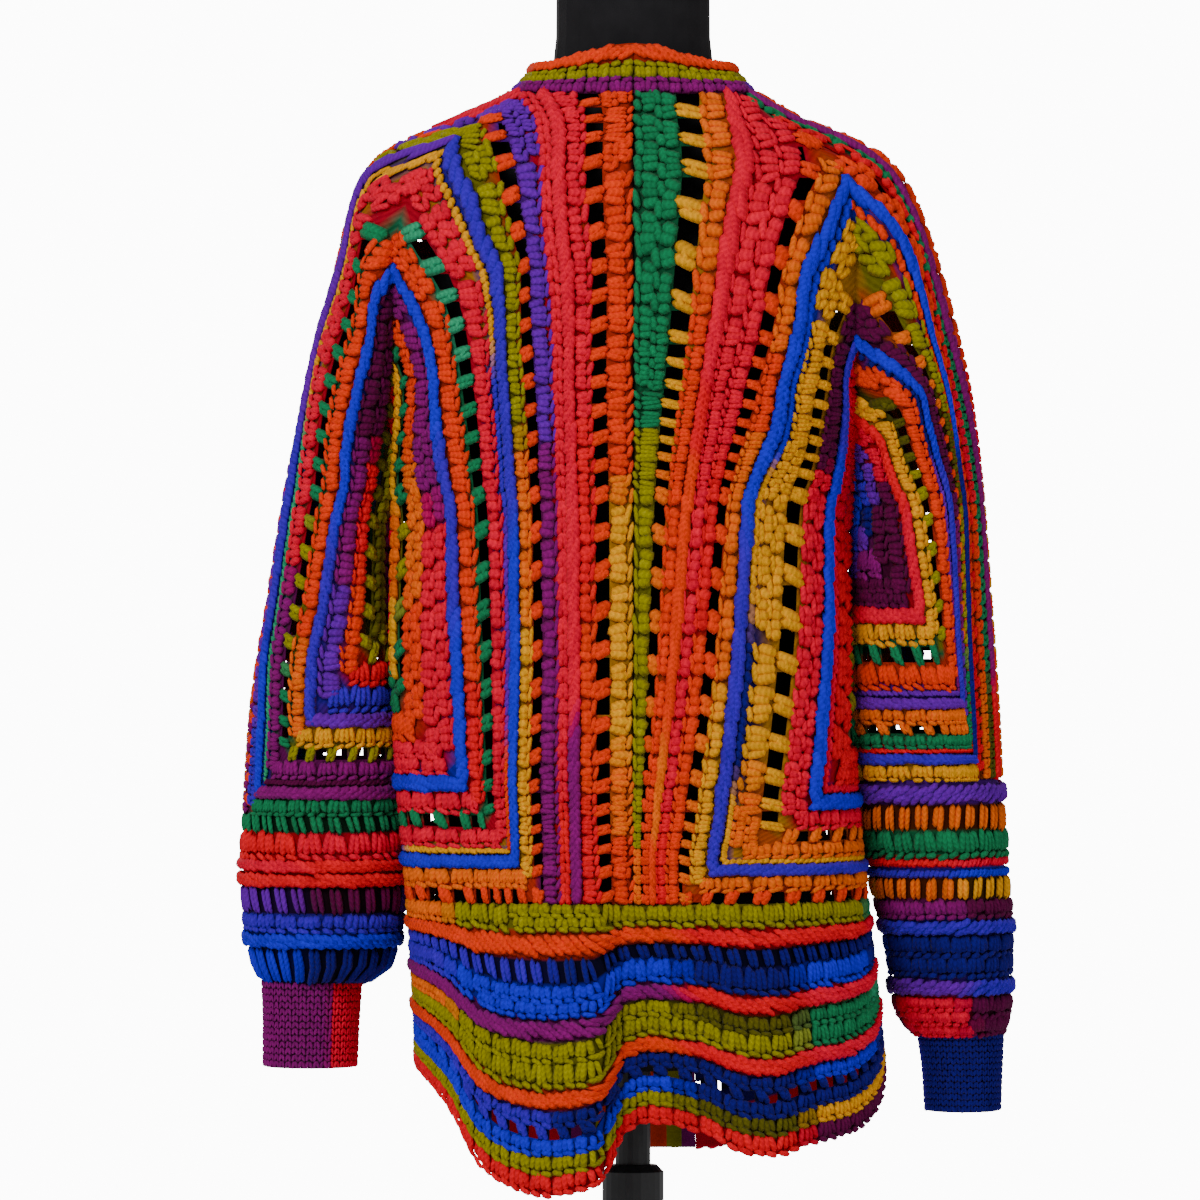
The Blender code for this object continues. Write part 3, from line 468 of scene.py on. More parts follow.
# The sleeves hang turned: where even stops among the rows of their backs lie, at levels of a. Below 0 and
# above 1 a row is out of sight
SLEEVE_STOPS = (0.0, 0.12, 0.30, 0.50, 0.65, 1.0)
SLEEVE_RUNS = {
    1: table(
        Run,
        (-12.0, -0.3, -0.08, 0.31, 0.63, 0.8, 1.4),
        (-8.0, -0.35, -0.12, 0.3, 0.645, 0.845, 1.5),
        (0.0, -0.45, -0.25, 0.13, 0.53, 0.83, 1.6),
        (8.0, 0.0, 0.16, 0.5, 0.91, 1.1, 1.5),
        (13.0, 0.0, 0.55, 0.73, 0.93, 1.1, 1.5),
        (16.0, 0.0, 0.75, 1.05, 1.3, 1.45, 1.8),
        (22.0, *SLEEVE_STOPS),
    ),
    -1: table(
        Run,
        (-11.4, 0.0, 0.33, 0.6, 0.68, 0.715, 1.0),
        (-5.7, 0.0, 0.26, 0.55, 0.68, 0.72, 1.0),
        (0.0, 0.0, 0.14, 0.45, 0.66, 0.717, 1.0),
        (8.0, 0.0, 0.41, 0.57, 0.674, 0.72, 1.0),
        (11.8, 0.0, 0.33, 0.57, 0.675, 0.72, 1.0),
        (15.4, 0.0, 0.42, 0.64, 0.7, 0.74, 1.0),
        (22.0, *SLEEVE_STOPS),
    ),
}


def leg_shares(flat, side, face):
    """Share of the way from the fold to the centre on the body, and from the fold outwards on the sleeve."""
    a, b = flat.T
    body = (a - np.maximum(b, 0)) / np.maximum(ROWS - np.maximum(b, 0), 1)
    body = run_share(np.clip(body, 0, 1), b, BODY_RUNS[side], ROW_STOPS)
    sleeve = (b - np.maximum(a, 0)) / np.maximum(ROWS - np.maximum(a, 0), 1)
    if face > 0:
        sleeve = run_share(np.clip(sleeve, 0, 1), a, SLEEVE_RUNS[side], SLEEVE_STOPS)
    return body, sleeve


def place_layer(flat, side, face):
    """Inner surface of a hexagon layer at its flat rows."""
    a, b = flat.T
    body_z = np.where(b < 0, leg_height(HEM_LEG, -b, side), leg_height(NECK_LEG, b, side))
    sleeve_z = np.where(a < 0, leg_height(CUFF_LEG, -a, side), leg_height(NECK_LEG, a, side))
    body_share, sleeve_share = leg_shares(flat, side, face)
    body = body_ring(body_z, np.clip(body_share, 0, 1), side, face)
    sleeve = sleeve_ring(sleeve_z, np.clip(sleeve_share, 0, 1), side, face)
    return np.where((a >= b)[:, None], body, sleeve)


def hem_place(flat):
    """u from -2 at the left front edge, by 0 at the centre back, to 2 at the right one, and v runs down."""
    u, v = flat.T
    side = np.where(u < 0, 1, -1)
    quarter = np.abs(u)
    back = quarter <= 1
    low = column(HEM_EDGE, "u", "z", u)
    low = low + (HEM_BOTTOM_FRONT - low) * ease(quarter - 1)
    z = HEM_TOP + (low - HEM_TOP) * v
    points = np.zeros((len(flat), 3))
    for s in (1, -1):
        for f in (1, -1):
            here = (side == s) & (back == (f > 0))
            share = np.clip(f * (1 - quarter[here]), 0, 1)
            ring = body_ring(z[here], share, s, f)
            ring[:, 0] -= s * SEAM / 2 if f > 0 else 0
            ring[:, 1] -= f * SEAM / 2
            points[here] = ring
    swing = np.maximum(flute(points[:, 0], points[:, 2]), 0) * back
    points[:, 2] -= FLUTE_DIP * swing * ease(v / FLUTE_DIP_FROM)
    return points


def cuff_slice(side):
    z = leg_height(CUFF_LEG, CUFF_ROWS, side)
    values = (z, *sleeve_edges(z, side), column(SLEEVE, "z", "line_y", z), column(SLEEVE, "z", "bulge", z))
    return TubeSlice(*map(float, values))


def tube_place(sections, side):
    """u is the angle round the tube, from its outer side by the back, and v runs down."""
    top = sections[0].z
    bottom = sections[-1].z

    def place(flat):
        z = top + (bottom - top) * flat[:, 1] - SEAM * (1 - flat[:, 1])
        inner = column(sections, "z", "inner", z)
        outer = column(sections, "z", "outer", z)
        y = column(sections, "z", "mid_y", z) + column(sections, "z", "depth", z) * np.sin(flat[:, 0])
        x = (inner + outer) / 2 + (outer - inner) / 2 * np.cos(flat[:, 0])
        return np.stack([side * x, y, z], -1)

    return place


def neck_place(side):
    """u from 0 at the hem to 1 at the centre back, and v across the band."""
    hem = hem_place(np.array([(-2.0 * side, v) for v in NECK_HEM_STOPS]))
    count = round((HEM_ROWS + TOP_ROWS) / EDGE_STEP)
    edge_rows = [-HEM_ROWS + (HEM_ROWS + TOP_ROWS) * i / count for i in range(1, count + 1)]
    halfway = (ROWS + TOP_ROWS) / 2
    front = [(ROWS, b) for b in edge_rows] + [(halfway, TOP_ROWS), (TOP_ROWS, TOP_ROWS), (TOP_ROWS, halfway)]
    back = [(TOP_ROWS, ROWS), (TOP_ROWS, halfway)]
    back += [(a, TOP_ROWS) for a in np.linspace(TOP_ROWS, ROWS, NECK_STEPS)]
    over = place_layer(np.array(back), side, 1)
    over[-1, 0] = side * SEAM / 2
    path = np.vstack([hem, place_layer(np.array(front), side, -1), over])
    past_corner = np.arange(len(path)) - (len(hem) + len(edge_rows) - 1)
    neck = ease(past_corner / NECK_BLEND + 1)
    inward = ([0, NECK_MID_Y, 0] - path) * [1, 1, 0]
    inward[-1, 0] = 0
    inward /= np.linalg.norm(inward, axis=1, keepdims=True)
    across = np.zeros_like(path)
    across[:, 0] = -np.sign(path[:, 0])
    aside = ease(np.abs(path[:, 0]) / NECK_HALF_WIDTH)[:, None]
    lean = BAND_LEAN[0] + (BAND_LEAN[1] - BAND_LEAN[0]) * aside
    rise = BAND_RISE[0] + (BAND_RISE[1] - BAND_RISE[0]) * aside
    way = across * BAND_WIDTH * (1 - neck[:, None]) + (inward * lean + [0, 0, 1] * rise) * neck[:, None]
    length = np.sum(np.linalg.norm(np.diff(path, axis=0), axis=1))
    path = np.vstack([path, path[-2] * [-1, 1, 1]])
    way = np.vstack([way, way[-2] * [-1, 1, 1]])
    run = np.concatenate([[0], np.cumsum(np.linalg.norm(np.diff(path, axis=0), axis=1))])

    def place(flat):
        at = np.clip(flat[:, 0], 0, NECK_OVERLAP) * length
        edge, wide = (np.stack([np.interp(at, run, of[:, k]) for k in range(3)], -1) for of in (path, way))
        return edge + flat[:, 1:] * wide

    return place, length


def yarn_at(yarns, share):
    """The yarn's colour at a share of the row's length, with short blends where its colour changes."""
    shades = np.array([YARN[letter] for letter in yarns])
    at = np.clip(share, 0, LAST_SHARE) * len(yarns)
    i = at.astype(int)
    blend = ease((at - i - COLOUR_HOLD) / COLOUR_BLEND)[:, None]
    following = np.minimum(i + 1, len(yarns) - 1)
    return shades[i] * (1 - blend) + shades[following] * blend


def add_object(name, data):
    made = bpy.data.objects.new(name, data)
    bpy.context.scene.collection.objects.link(made)
    return made


# Guards against a division by nothing
SMALL_CROSS = 1e-12
SMALL_LENGTH = 1e-9


def unit(vectors, least=SMALL_LENGTH):
    return vectors / np.maximum(np.linalg.norm(vectors, axis=-1, keepdims=True), least)


def build_mesh(name, points, triangles, colours, strand, look):
    """A mesh object with the yarn's colour and the place along and across its strand on each point."""
    mesh = bpy.data.meshes.new(name)
    count = len(triangles)
    mesh.vertices.add(len(points))
    mesh.vertices.foreach_set("co", points.astype(np.float32).ravel())
    mesh.loops.add(count * 3)
    mesh.loops.foreach_set("vertex_index", triangles.astype(np.int32).ravel())
    mesh.polygons.add(count)
    mesh.polygons.foreach_set("loop_start", np.arange(0, count * 3, 3, dtype=np.int32))
    mesh.polygons.foreach_set("use_smooth", np.ones(count, bool))
    mesh.update(calc_edges=True)
    tint = mesh.color_attributes.new("yarn", "FLOAT_COLOR", "POINT")
    tint.data.foreach_set("color", np.hstack([colours, np.ones((len(points), 1))]).astype(np.float32).ravel())
    uv = mesh.uv_layers.new(name="strand")
    uv.data.foreach_set("uv", strand[triangles.ravel()].astype(np.float32).ravel())
    mesh.materials.append(look)
    made = add_object(name, mesh)
    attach(made, "root")
    return made


def full_size(flat):
    return np.ones((len(flat), 1))


# How a cloth lies: where its flat places go, which way is out, steps for its normals, and where it is thinner
Cloth = namedtuple("Cloth", "place outward reach thin", defaults=(full_size,))


def normals_on(cloth, flat):
    """Points of a cloth's inner surface, and its unit normals there, pointing out."""
    one = np.array([cloth.reach[0], 0])
    two = np.array([0, cloth.reach[1]])
    points = cloth.place(flat)
    along = cloth.place(flat + one) - cloth.place(flat - one)
    across = cloth.place(flat + two) - cloth.place(flat - two)
    normals = unit(np.cross(along, across), SMALL_CROSS)
    if np.sum(normals * cloth.outward(points, flat)) < 0:
        normals = -normals
    return points, normals


# A stitch is a few strands. Each goes from (s, t) to (s, t): s along the row in stitches, t from the row's
# inner edge to its outer one. Half width and half thickness are in metres, as are lift and bow off the cloth
Strand = namedtuple("Strand", "s0 t0 s1 t1 width thick lift bow")
STRANDS = {
    "dc": (
        (-0.52, -0.1, -0.86, 0.88, 0.0029, 0.0023, 0.0, 0.0009),
        (-0.22, -0.06, -0.3, 0.92, 0.0029, 0.0023, 0.0003, 0.001),
        (0.12, -0.06, 0.26, 0.92, 0.0029, 0.0023, 0.0001, 0.001),
        (0.42, -0.1, 0.8, 0.88, 0.0029, 0.0023, 0.0, 0.0009),
        (-1.02, 0.82, 0.08, 1.04, 0.0022, 0.0019, 0.0011, 0.0003),
        (-0.02, 0.82, 1.08, 1.04, 0.0022, 0.0019, 0.0011, 0.0003),
    ),
    "mesh": (
        (-0.5, -0.22, 0.04, 1.1, 0.0027, 0.0022, 0.0001, 0.0007),
        (-0.12, -0.18, 0.46, 1.16, 0.0027, 0.0022, 0.0002, 0.0007),
        (-0.46, 0.42, 0.4, 0.72, 0.0018, 0.0016, 0.0016, 0.0003),
    ),
    "dots": (
        (-0.56, -0.12, -0.1, 1.06, 0.0023, 0.002, 0.0001, 0.0007),
        (-0.08, -0.12, 0.4, 1.06, 0.0023, 0.002, 0.0002, 0.0007),
    ),
    "ridge": (
        (-1.0, 0.16, 0.62, 0.66, 0.0026, 0.0024, 0.0022, 0.0006),
        (-0.6, 0.4, 1.0, 0.88, 0.0026, 0.0024, 0.0022, 0.0006),
    ),
    "chain": (
        (-0.7, 0.04, 0.46, 0.46, 0.0025, 0.0021, 0.0006, 0.0006),
        (-0.7, 0.96, 0.46, 0.54, 0.0025, 0.0021, 0.0006, 0.0006),
    ),
    "sc": (
        (-0.56, 0.12, 0.22, 0.88, 0.002, 0.0017, 0.0004, 0.0004),
        (-0.06, 0.12, 0.62, 0.88, 0.002, 0.0017, 0.0004, 0.0004),
    ),
    "knit": (
        (-0.46, -0.25, -0.06, 1.02, 0.0013, 0.0011, 0.0, 0.0003),
        (0.46, -0.25, 0.06, 1.02, 0.0013, 0.0011, 0.0, 0.0003),
    ),
}
STITCHES = {kind: table(Strand, *strands) for kind, strands in STRANDS.items()}
# Stitches along the row that one set of strands fills. A narrow double crochet row is worked as chain
PITCH = {"dc": 2.0, "mesh": 2.0, "dots": 1.5, "ridge": 0.75, "chain": 0.85, "sc": 0.9, "knit": 1.0}
CHAIN_ROW = 1.05
# A row much wider than this is worked as several rows of stitches, every second one shifted
TIER = {"dc": 0.0130, "chain": 0.0120, "sc": 0.0100}
MOST_TIERS = 6
TIER_SHIFT = 0.5
# Metres a row across a strand that its width is right for, and how far the width may follow
ROOM = {"dc": 0.0125, "mesh": 0.0125, "ridge": 0.0085, "chain": 0.0085, "sc": 0.0100}
ROOM_RANGE = (0.75, 1.9)
ROOM_REACH = 0.25
# Rings of a strand: where they lie along it, their share of its size, and the points round each
RINGS = np.array([0.0, 0.20, 0.5, 0.80, 1.0])
SWELL = np.array([0.0, 0.92, 1.0, 0.86, 0.0])
MIDDLE_RING = 2
ROUND = 4
TIP_DROP = -0.6
PLY_PITCH = 0.0042
# Spread of the strands' ends in stitches, of their sizes and of their shades
PLACE_JITTER = 0.055
SIZE_JITTER = 0.06
TONE_JITTER = 0.07


def row_tiers(kind, low, high, middles, coordinates, place):
    """How many rows of stitches fill a row at each stitch, from its real width there."""
    if kind not in TIER:
        return np.ones(len(middles), int)
    width = place(coordinates(middles, middles * 0 + high)) - place(coordinates(middles, middles * 0 + low))
    tiers = np.round(np.linalg.norm(width, axis=1) / TIER[kind])
    return np.clip(tiers, 1, MOST_TIERS).astype(int)


def strand_routes(kind, low, high, start, stop, pitch, coordinates, place):
    """Flat routes of a row's strands, with their sizes and their places along the row."""
    step = pitch * PITCH[kind]
    count = max(1, round((stop - start) / step))
    step = (stop - start) / count
    stitch = step / PITCH[kind]
    middles = start + (np.arange(count) + 0.5) * step
    tiers = row_tiers(kind, low, high, middles, coordinates, place)
    routes, sizes, shares = [], [], []
    for tier in range(MOST_TIERS):
        cells = tiers > tier
        if not cells.any():
            continue
        depth = (high - low) / tiers[cells]
        floor = low + depth * tier
        middle = middles[cells] + (tier % 2) * stitch * TIER_SHIFT
        for strand in STITCHES[kind]:
            jitter = chance.normal(0, PLACE_JITTER, (len(middle), 4))
            s0 = middle + (strand.s0 + jitter[:, 0]) * stitch
            s1 = middle + (strand.s1 + jitter[:, 1]) * stitch
            t0 = floor + (strand.t0 + jitter[:, 2]) * depth
            t1 = floor + (strand.t1 + jitter[:, 3]) * depth
            s = s0[:, None] + (s1 - s0)[:, None] * RINGS
            t = t0[:, None] + (t1 - t0)[:, None] * RINGS
            routes.append(coordinates(s, t))
            sizes.append(np.tile([strand.width, strand.thick, strand.lift, strand.bow], (len(middle), 1)))
            shares.append(middle)
    sizes = np.vstack(sizes)
    sizes[:, :2] *= 1 + chance.normal(0, SIZE_JITTER, (len(sizes), 2))
    return np.concatenate(routes), sizes, np.concatenate(shares)


def room(place, routes):
    """Metres a row across each strand, where it lies."""
    way = routes[:, MIDDLE_RING + 1] - routes[:, MIDDLE_RING - 1]
    across = unit(np.stack([-way[:, 1], way[:, 0]], -1))
    middle = routes[:, MIDDLE_RING]
    found = place(middle + across * ROOM_REACH) - place(middle - across * ROOM_REACH)
    return np.linalg.norm(found, axis=1) / (2 * ROOM_REACH)


def strand_mesh(name, cloth, groups, look):
    """Closed yarn strands along flat routes, five rings each with pointed ends, lifted off the cloth."""
    routes, sizes, colours = (np.concatenate(group) for group in zip(*groups))
    count, rings, _ = routes.shape
    flat = routes.reshape(-1, 2)
    points, normals = normals_on(cloth, flat)
    scale = cloth.thin(flat).reshape(count, rings, 1)
    points = points.reshape(count, rings, 3)
    normals = normals.reshape(count, rings, 3)
    hump = (4 * RINGS * (1 - RINGS))[None, :, None]
    lift = (STITCH_LIFT + sizes[:, 2, None, None] + sizes[:, 3, None, None] * hump) * scale
    centre = points + normals * lift
    along = unit(np.gradient(centre, axis=1))
    aside = unit(np.cross(normals, along))
    up = np.cross(along, aside)
    length = np.linalg.norm(np.diff(centre, axis=1), axis=2).sum(1)
    where = []
    strand = []
    for k in range(rings):
        tip = k in (0, rings - 1)
        for i in range(1 if tip else ROUND):
            angle = 2 * pi * i / ROUND
            width = sizes[:, 0, None] * SWELL[k] * np.cos(angle)
            thick = sizes[:, 1, None] * (TIP_DROP if tip else SWELL[k] * np.sin(angle))
            where.append(centre[:, k] + (aside[:, k] * width + up[:, k] * thick) * scale[:, k])
            turn = np.full(count, abs(angle / pi - 0.5))
            strand.append(np.stack([length * RINGS[k] / PLY_PITCH, turn], -1))
    per = len(where)
    where = np.stack(where, 1).reshape(-1, 3)
    strand = np.stack(strand, 1).reshape(-1, 2)
    faces = []
    last = per - 1
    for i in range(ROUND):
        j = (i + 1) % ROUND
        faces.append((0, 1 + j, 1 + i))
        for k in range(rings - 3):
            low, high = 1 + k * ROUND, 1 + (k + 1) * ROUND
            faces += [(low + i, low + j, high + j), (low + i, high + j, high + i)]
        faces.append((last - ROUND + i, last - ROUND + j, last))
    triangles = (np.arange(count)[:, None, None] * per + np.array(faces)[None]).reshape(-1, 3)
    tone = 1 + chance.normal(0, TONE_JITTER, (count, 1))
    tinted = np.repeat(np.clip(colours * tone, 0, 1), per, axis=0)
    return build_mesh(name, where, triangles, tinted, strand, look)


def shell_mesh(name, cloth, flat, triangles, lift, colours, look):
    """The thin closed shell under the stitches: two surfaces and a rim round every edge and gap."""
    points, normals = normals_on(cloth, flat)
    first, second, third = points[triangles.T]
    facing = np.cross(second - first, third - first)
    inside_out = np.sum(facing * normals[triangles].sum(1), axis=1) < 0
    triangles = np.where(inside_out[:, None], triangles[:, ::-1], triangles)
    scale = cloth.thin(flat)
    low = points + normals * SHELL_LOW * scale
    high = points + normals * (SHELL_HIGH + lift[:, None]) * scale
    count = len(flat)
    edges = np.concatenate([triangles[:, [0, 1]], triangles[:, [1, 2]], triangles[:, [2, 0]]])
    known = set(map(tuple, edges.tolist()))
    rim = np.array([edge for edge in edges.tolist() if (edge[1], edge[0]) not in known])
    one, two = rim.T
    faces = np.concatenate([
        triangles + count, triangles[:, ::-1],
        np.stack([one, two, two + count], -1), np.stack([one, two + count, one + count], -1),
    ])
    both = np.vstack([low, high])
    strand = np.tile(flat * 2.0, (2, 1))
    return build_mesh(name, both, faces, np.tile(colours, (2, 1)), strand, look)


# The bars of an open row stand at even places along every leg. By face: the front's are wider and shifted
STITCH_PITCH = 0.75
BAR_PITCH = 1.5
BAR_PHASE = {1: -0.05, -1: 0.70}
BAR_HALF = {1: 0.30, -1: 0.45}
GAP_HALF = 0.46
LEGS = {
    "body": (lambda s, t: np.stack([t, s], -1), HEM_ROWS, TOP_ROWS),
    "sleeve": (lambda s, t: np.stack([s, t], -1), CUFF_ROWS, TOP_ROWS),
    "hem": (lambda s, t: np.stack([s, -t], -1), 0.0, HEM_ROWS),
    "cuff": (lambda s, t: np.stack([-t, s], -1), 0.0, CUFF_ROWS),
}
# Gaps start this far from a row's corner, and from this row on
GAP_END = 1.0
GAP_FROM_ROW = 6
# The shell is darkened as painted shade between stitches, and more as painted shade behind openwork
SHELL_PAINTED_SHADE = 0.42
GAP_PAINTED_SHADE = 0.15
RIDGE_SHARE = 0.8
CREST_REACH = 0.02
ROW_UNDER = 0.5
ROW_OVER = 0.05
LINE_REACH = 0.10
FOLD_SLIM = 0.22
SMALL_AREA = 1e-6
# Half the grid's joint between two rows of a band, and how near counts as on a row's edge
ROW_EDGE = 0.012
ON_EDGE = 1e-6
# Steps along and across for the surface's normals, in each cloth's own flat units
FLAT_REACH = (0.12, 0.12)
TUBE_REACH = (0.03, 0.02)
NECK_REACH = (0.002, 0.05)
HEM_REACH = (0.004, 0.01)


def middle_of(row):
    return (row.low + row.high) / 2


def leg_span(leg, middle):
    """Where a row starts and stops along a leg, or None where the leg ends before that row."""
    _, low, high = LEGS[leg]
    if leg in ("hem", "cuff") and middle > high:
        return None
    return -min(middle, low), min(middle, high)


def hexagon_outward(side):
    def outward(points, flat):
        body = (flat[:, 0] >= flat[:, 1])[:, None]
        axis = np.where(body, [0.0, 0.0, 0.0], [side * SLEEVE_AXIS[0], SLEEVE_AXIS[1], 0.0])
        return (points - axis) * [1, 1, 0]

    return outward


def fold_thin(flat):
    """Share of its size that the cloth has near the fold over the shoulder and sleeve."""
    a, b = flat.T
    near_fold = np.exp(-(((a - b) / FOLD_ROWS) ** 2)) * (np.minimum(a, b) > -1)
    return (1 - FOLD_SLIM * near_fold)[:, None]


def seen_share(flat, side, face):
    """Share along the leg that a flat place lies on; it is in sight between 0 and 1."""
    body, sleeve = leg_shares(flat, side, face)
    return np.where(flat[:, 0] >= flat[:, 1], body, sleeve)


def hexagon_cloth(side, face):
    def place(flat):
        return place_layer(flat, side, face)

    return Cloth(place, hexagon_outward(side), FLAT_REACH, fold_thin)


def hexagon_stitches(side, face, look):
    cloth = hexagon_cloth(side, face)
    groups = []
    for row in HEXAGON_ROWS[side]:
        middle = middle_of(row)
        for leg, (coordinates, _, _) in LEGS.items():
            span = leg_span(leg, middle)
            if span is None:
                continue
            start, stop = span
            if row.kind == "mesh":
                first = np.ceil((start - BAR_PHASE[face]) / BAR_PITCH) * BAR_PITCH + BAR_PHASE[face]
                bars = max(1, int((stop - first) / BAR_PITCH) + 1)
                start, stop = first - BAR_PITCH / 2, first + (bars - 0.5) * BAR_PITCH
            kind = "chain" if row.kind == "dc" and row.high - row.low < CHAIN_ROW else row.kind
            found, size, along = strand_routes(
                kind, row.low, row.high, start, stop, STITCH_PITCH, coordinates, cloth.place
            )
            share = seen_share(found[:, MIDDLE_RING], side, face)
            seen = (share > 0) & (share <= 1)
            found = found[seen]
            wider = np.clip(room(cloth.place, found) / ROOM[kind], *ROOM_RANGE)
            same = np.ones_like(wider)
            size = size[seen] * np.stack([wider, wider**0.5, same, same], -1)
            share = (along[seen] - span[0]) / (span[1] - span[0])
            groups.append((found, size, yarn_at(getattr(row, leg), share)))
    return strand_mesh(f"stitches_{layer_word(face)}_{side_word(side)}", cloth, groups, look)


def shell_lines(rows, low, face):
    """Grid lines of a hexagon's shell: the edges of its open rows, ridges and bars."""
    fixed = [0.0, ROWS, TOP_ROWS, -low]
    for row in rows:
        middle = middle_of(row)
        if row.kind == "mesh":
            fixed += [middle - GAP_HALF, middle + GAP_HALF, -middle - GAP_HALF, -middle + GAP_HALF]
        if row.kind == "ridge":
            fixed += [middle, -middle, row.low, row.high, -row.low, -row.high]
    fixed = [x for x in fixed if -low <= x <= ROWS]
    lines = list(fixed)
    for k in range(int(-low / BAR_PITCH) - 1, int(ROWS / BAR_PITCH) + 2):
        for edge in (-BAR_HALF[face], BAR_HALF[face]):
            x = k * BAR_PITCH + BAR_PHASE[face] + edge
            if -low < x < ROWS and min(abs(x - other) for other in fixed) > LINE_REACH:
                lines.append(x)
    return np.array(sorted(set(np.round(lines, 5))))


def leg_of(a, b):
    """Which leg a flat place lies on, its row and its place along that row."""
    row = np.maximum(np.maximum(a, b), np.maximum(-a, -b))
    leg = np.select([row == a, row == b, row == -b], ["body", "sleeve", "hem"], "cuff")
    along = np.where((leg == "body") | (leg == "cuff"), b, a)
    return leg, row, along


def off_bars(along, face):
    """Whether a place along a row lies between two bars."""
    beside = (along - BAR_PHASE[face] + BAR_PITCH / 2) % BAR_PITCH - BAR_PITCH / 2
    return np.abs(beside) > BAR_HALF[face]


def hexagon_triangles(rows, across, up, face):
    """Triangles of a hexagon's grid, without its gaps and its cut corners."""
    count = len(across)
    i, j = np.meshgrid(np.arange(count - 1), np.arange(len(up) - 1))
    i, j = i.ravel(), j.ravel()
    a = (across[i] + across[i + 1]) / 2
    b = (up[j] + up[j + 1]) / 2
    _, row, along = leg_of(a, b)
    keep = ~((a < 0) & (b < 0)) & (np.minimum(a, b) < TOP_ROWS)
    for one in rows:
        if one.kind == "mesh":
            in_row = np.abs(row - middle_of(one)) < GAP_HALF
            off_corner = (np.abs(along) < row - GAP_END) & (row > GAP_FROM_ROW)
            keep &= ~(in_row & off_bars(along, face) & off_corner)
    corner = (j * count + i)[keep]
    return np.concatenate([
        np.stack([corner, corner + 1, corner + count + 1], -1),
        np.stack([corner, corner + count + 1, corner + count], -1),
    ])


def seen_triangles(flat, triangles, side, face):
    """The triangles that are in sight and have an area there."""
    sleeve = flat[:, 0] < flat[:, 1]
    share = seen_share(flat, side, face)
    hidden = (share <= 0) | (sleeve & (share >= 1))
    kept = ROWS * np.clip(share, 0, 1)
    shown = np.stack([np.where(sleeve, flat[:, 0], kept), np.where(sleeve, kept, flat[:, 1])], -1)
    corners = shown[triangles]
    sides = corners[:, 1:] - corners[:, :1]
    area = np.abs(sides[:, 0, 0] * sides[:, 1, 1] - sides[:, 0, 1] * sides[:, 1, 0])
    return triangles[(area > SMALL_AREA) & ~hidden[triangles].all(1)]


def hexagon_shell(side, face, look):
    rows = HEXAGON_ROWS[side]
    across = shell_lines(rows, CUFF_ROWS, face)
    up = shell_lines(rows, HEM_ROWS, face)
    flat = np.stack([axis.ravel() for axis in np.meshgrid(across, up)], -1)
    triangles = seen_triangles(flat, hexagon_triangles(rows, across, up, face), side, face)
    used, triangles = np.unique(triangles, return_inverse=True)
    triangles = triangles.reshape(-1, 3)
    flat = flat[used]
    leg, row, along = leg_of(*flat.T)
    colours = np.zeros((len(flat), 3))
    lift = np.zeros(len(flat))
    for one in rows:
        middle = middle_of(one)
        for word in LEGS:
            span = leg_span(word, middle)
            here = (leg == word) & (row > one.low - ROW_UNDER) & (row <= one.high + ROW_OVER)
            if span and here.any():
                share = (along[here] - span[0]) / (span[1] - span[0])
                colours[here] = yarn_at(getattr(one, word), np.clip(share, 0, 1))
        if one.kind == "ridge":
            lift[np.abs(row - middle) < CREST_REACH] = RIDGE * RIDGE_SHARE
    name = f"shell_{layer_word(face)}_{side_word(side)}"
    # The shell takes the yarns' colours, darkened as painted shade between the stitches
    return shell_mesh(name, hexagon_cloth(side, face), flat, triangles, lift, colours * SHELL_PAINTED_SHADE, look)


# A band lies between start and stop along u, in its own flat units, and from 0 to 1 across
Band = namedtuple("Band", "node word cloth rows start stop pitch closed look slot flat rests_on")


def band_stitches(band):
    groups = []
    for row in band.rows:
        found, size, along = strand_routes(
            row.kind, row.low, row.high, band.start, band.stop, band.pitch,
            lambda s, t: np.stack([s, t], -1), band.cloth.place,
        )
        groups.append((found, size, yarn_at(row.yarns, (along - band.start) / (band.stop - band.start))))
    return strand_mesh(f"stitches_{band.word}", band.cloth, groups, band.look)


def band_grid(band):
    """Flat places across a band's bars and rows, and its triangles without the gaps of its open rows."""
    bars = max(1, round((band.stop - band.start) / (2 * band.pitch)))
    step = (band.stop - band.start) / bars
    edges = band.start + (np.arange(bars) + 0.5) * step
    us = np.sort(np.concatenate([edges - step / 4, edges + step / 4, [band.start, band.stop]]))
    if band.closed:
        us = us[:-1]
    vs = {0.0, 1.0}
    for row in band.rows:
        vs |= {row.low, middle_of(row), row.high - ROW_EDGE, row.low + ROW_EDGE}
    vs = np.array(sorted(vs))
    flat = np.stack([axis.ravel() for axis in np.meshgrid(us, vs)], -1)
    count = len(us)
    triangles = []
    for j in range(len(vs) - 1):
        middle = (vs[j] + vs[j + 1]) / 2
        is_open = any(row.low < middle < row.high for row in band.rows if row.kind == "mesh")
        for i in range(count if band.closed else count - 1):
            if is_open and i % 2 == 0 and 0 < i < count - 1:
                continue
            one, two = j * count + i, j * count + (i + 1) % count
            triangles += [(one, two, two + count), (one, two + count, one + count)]
    return flat, np.array(triangles)


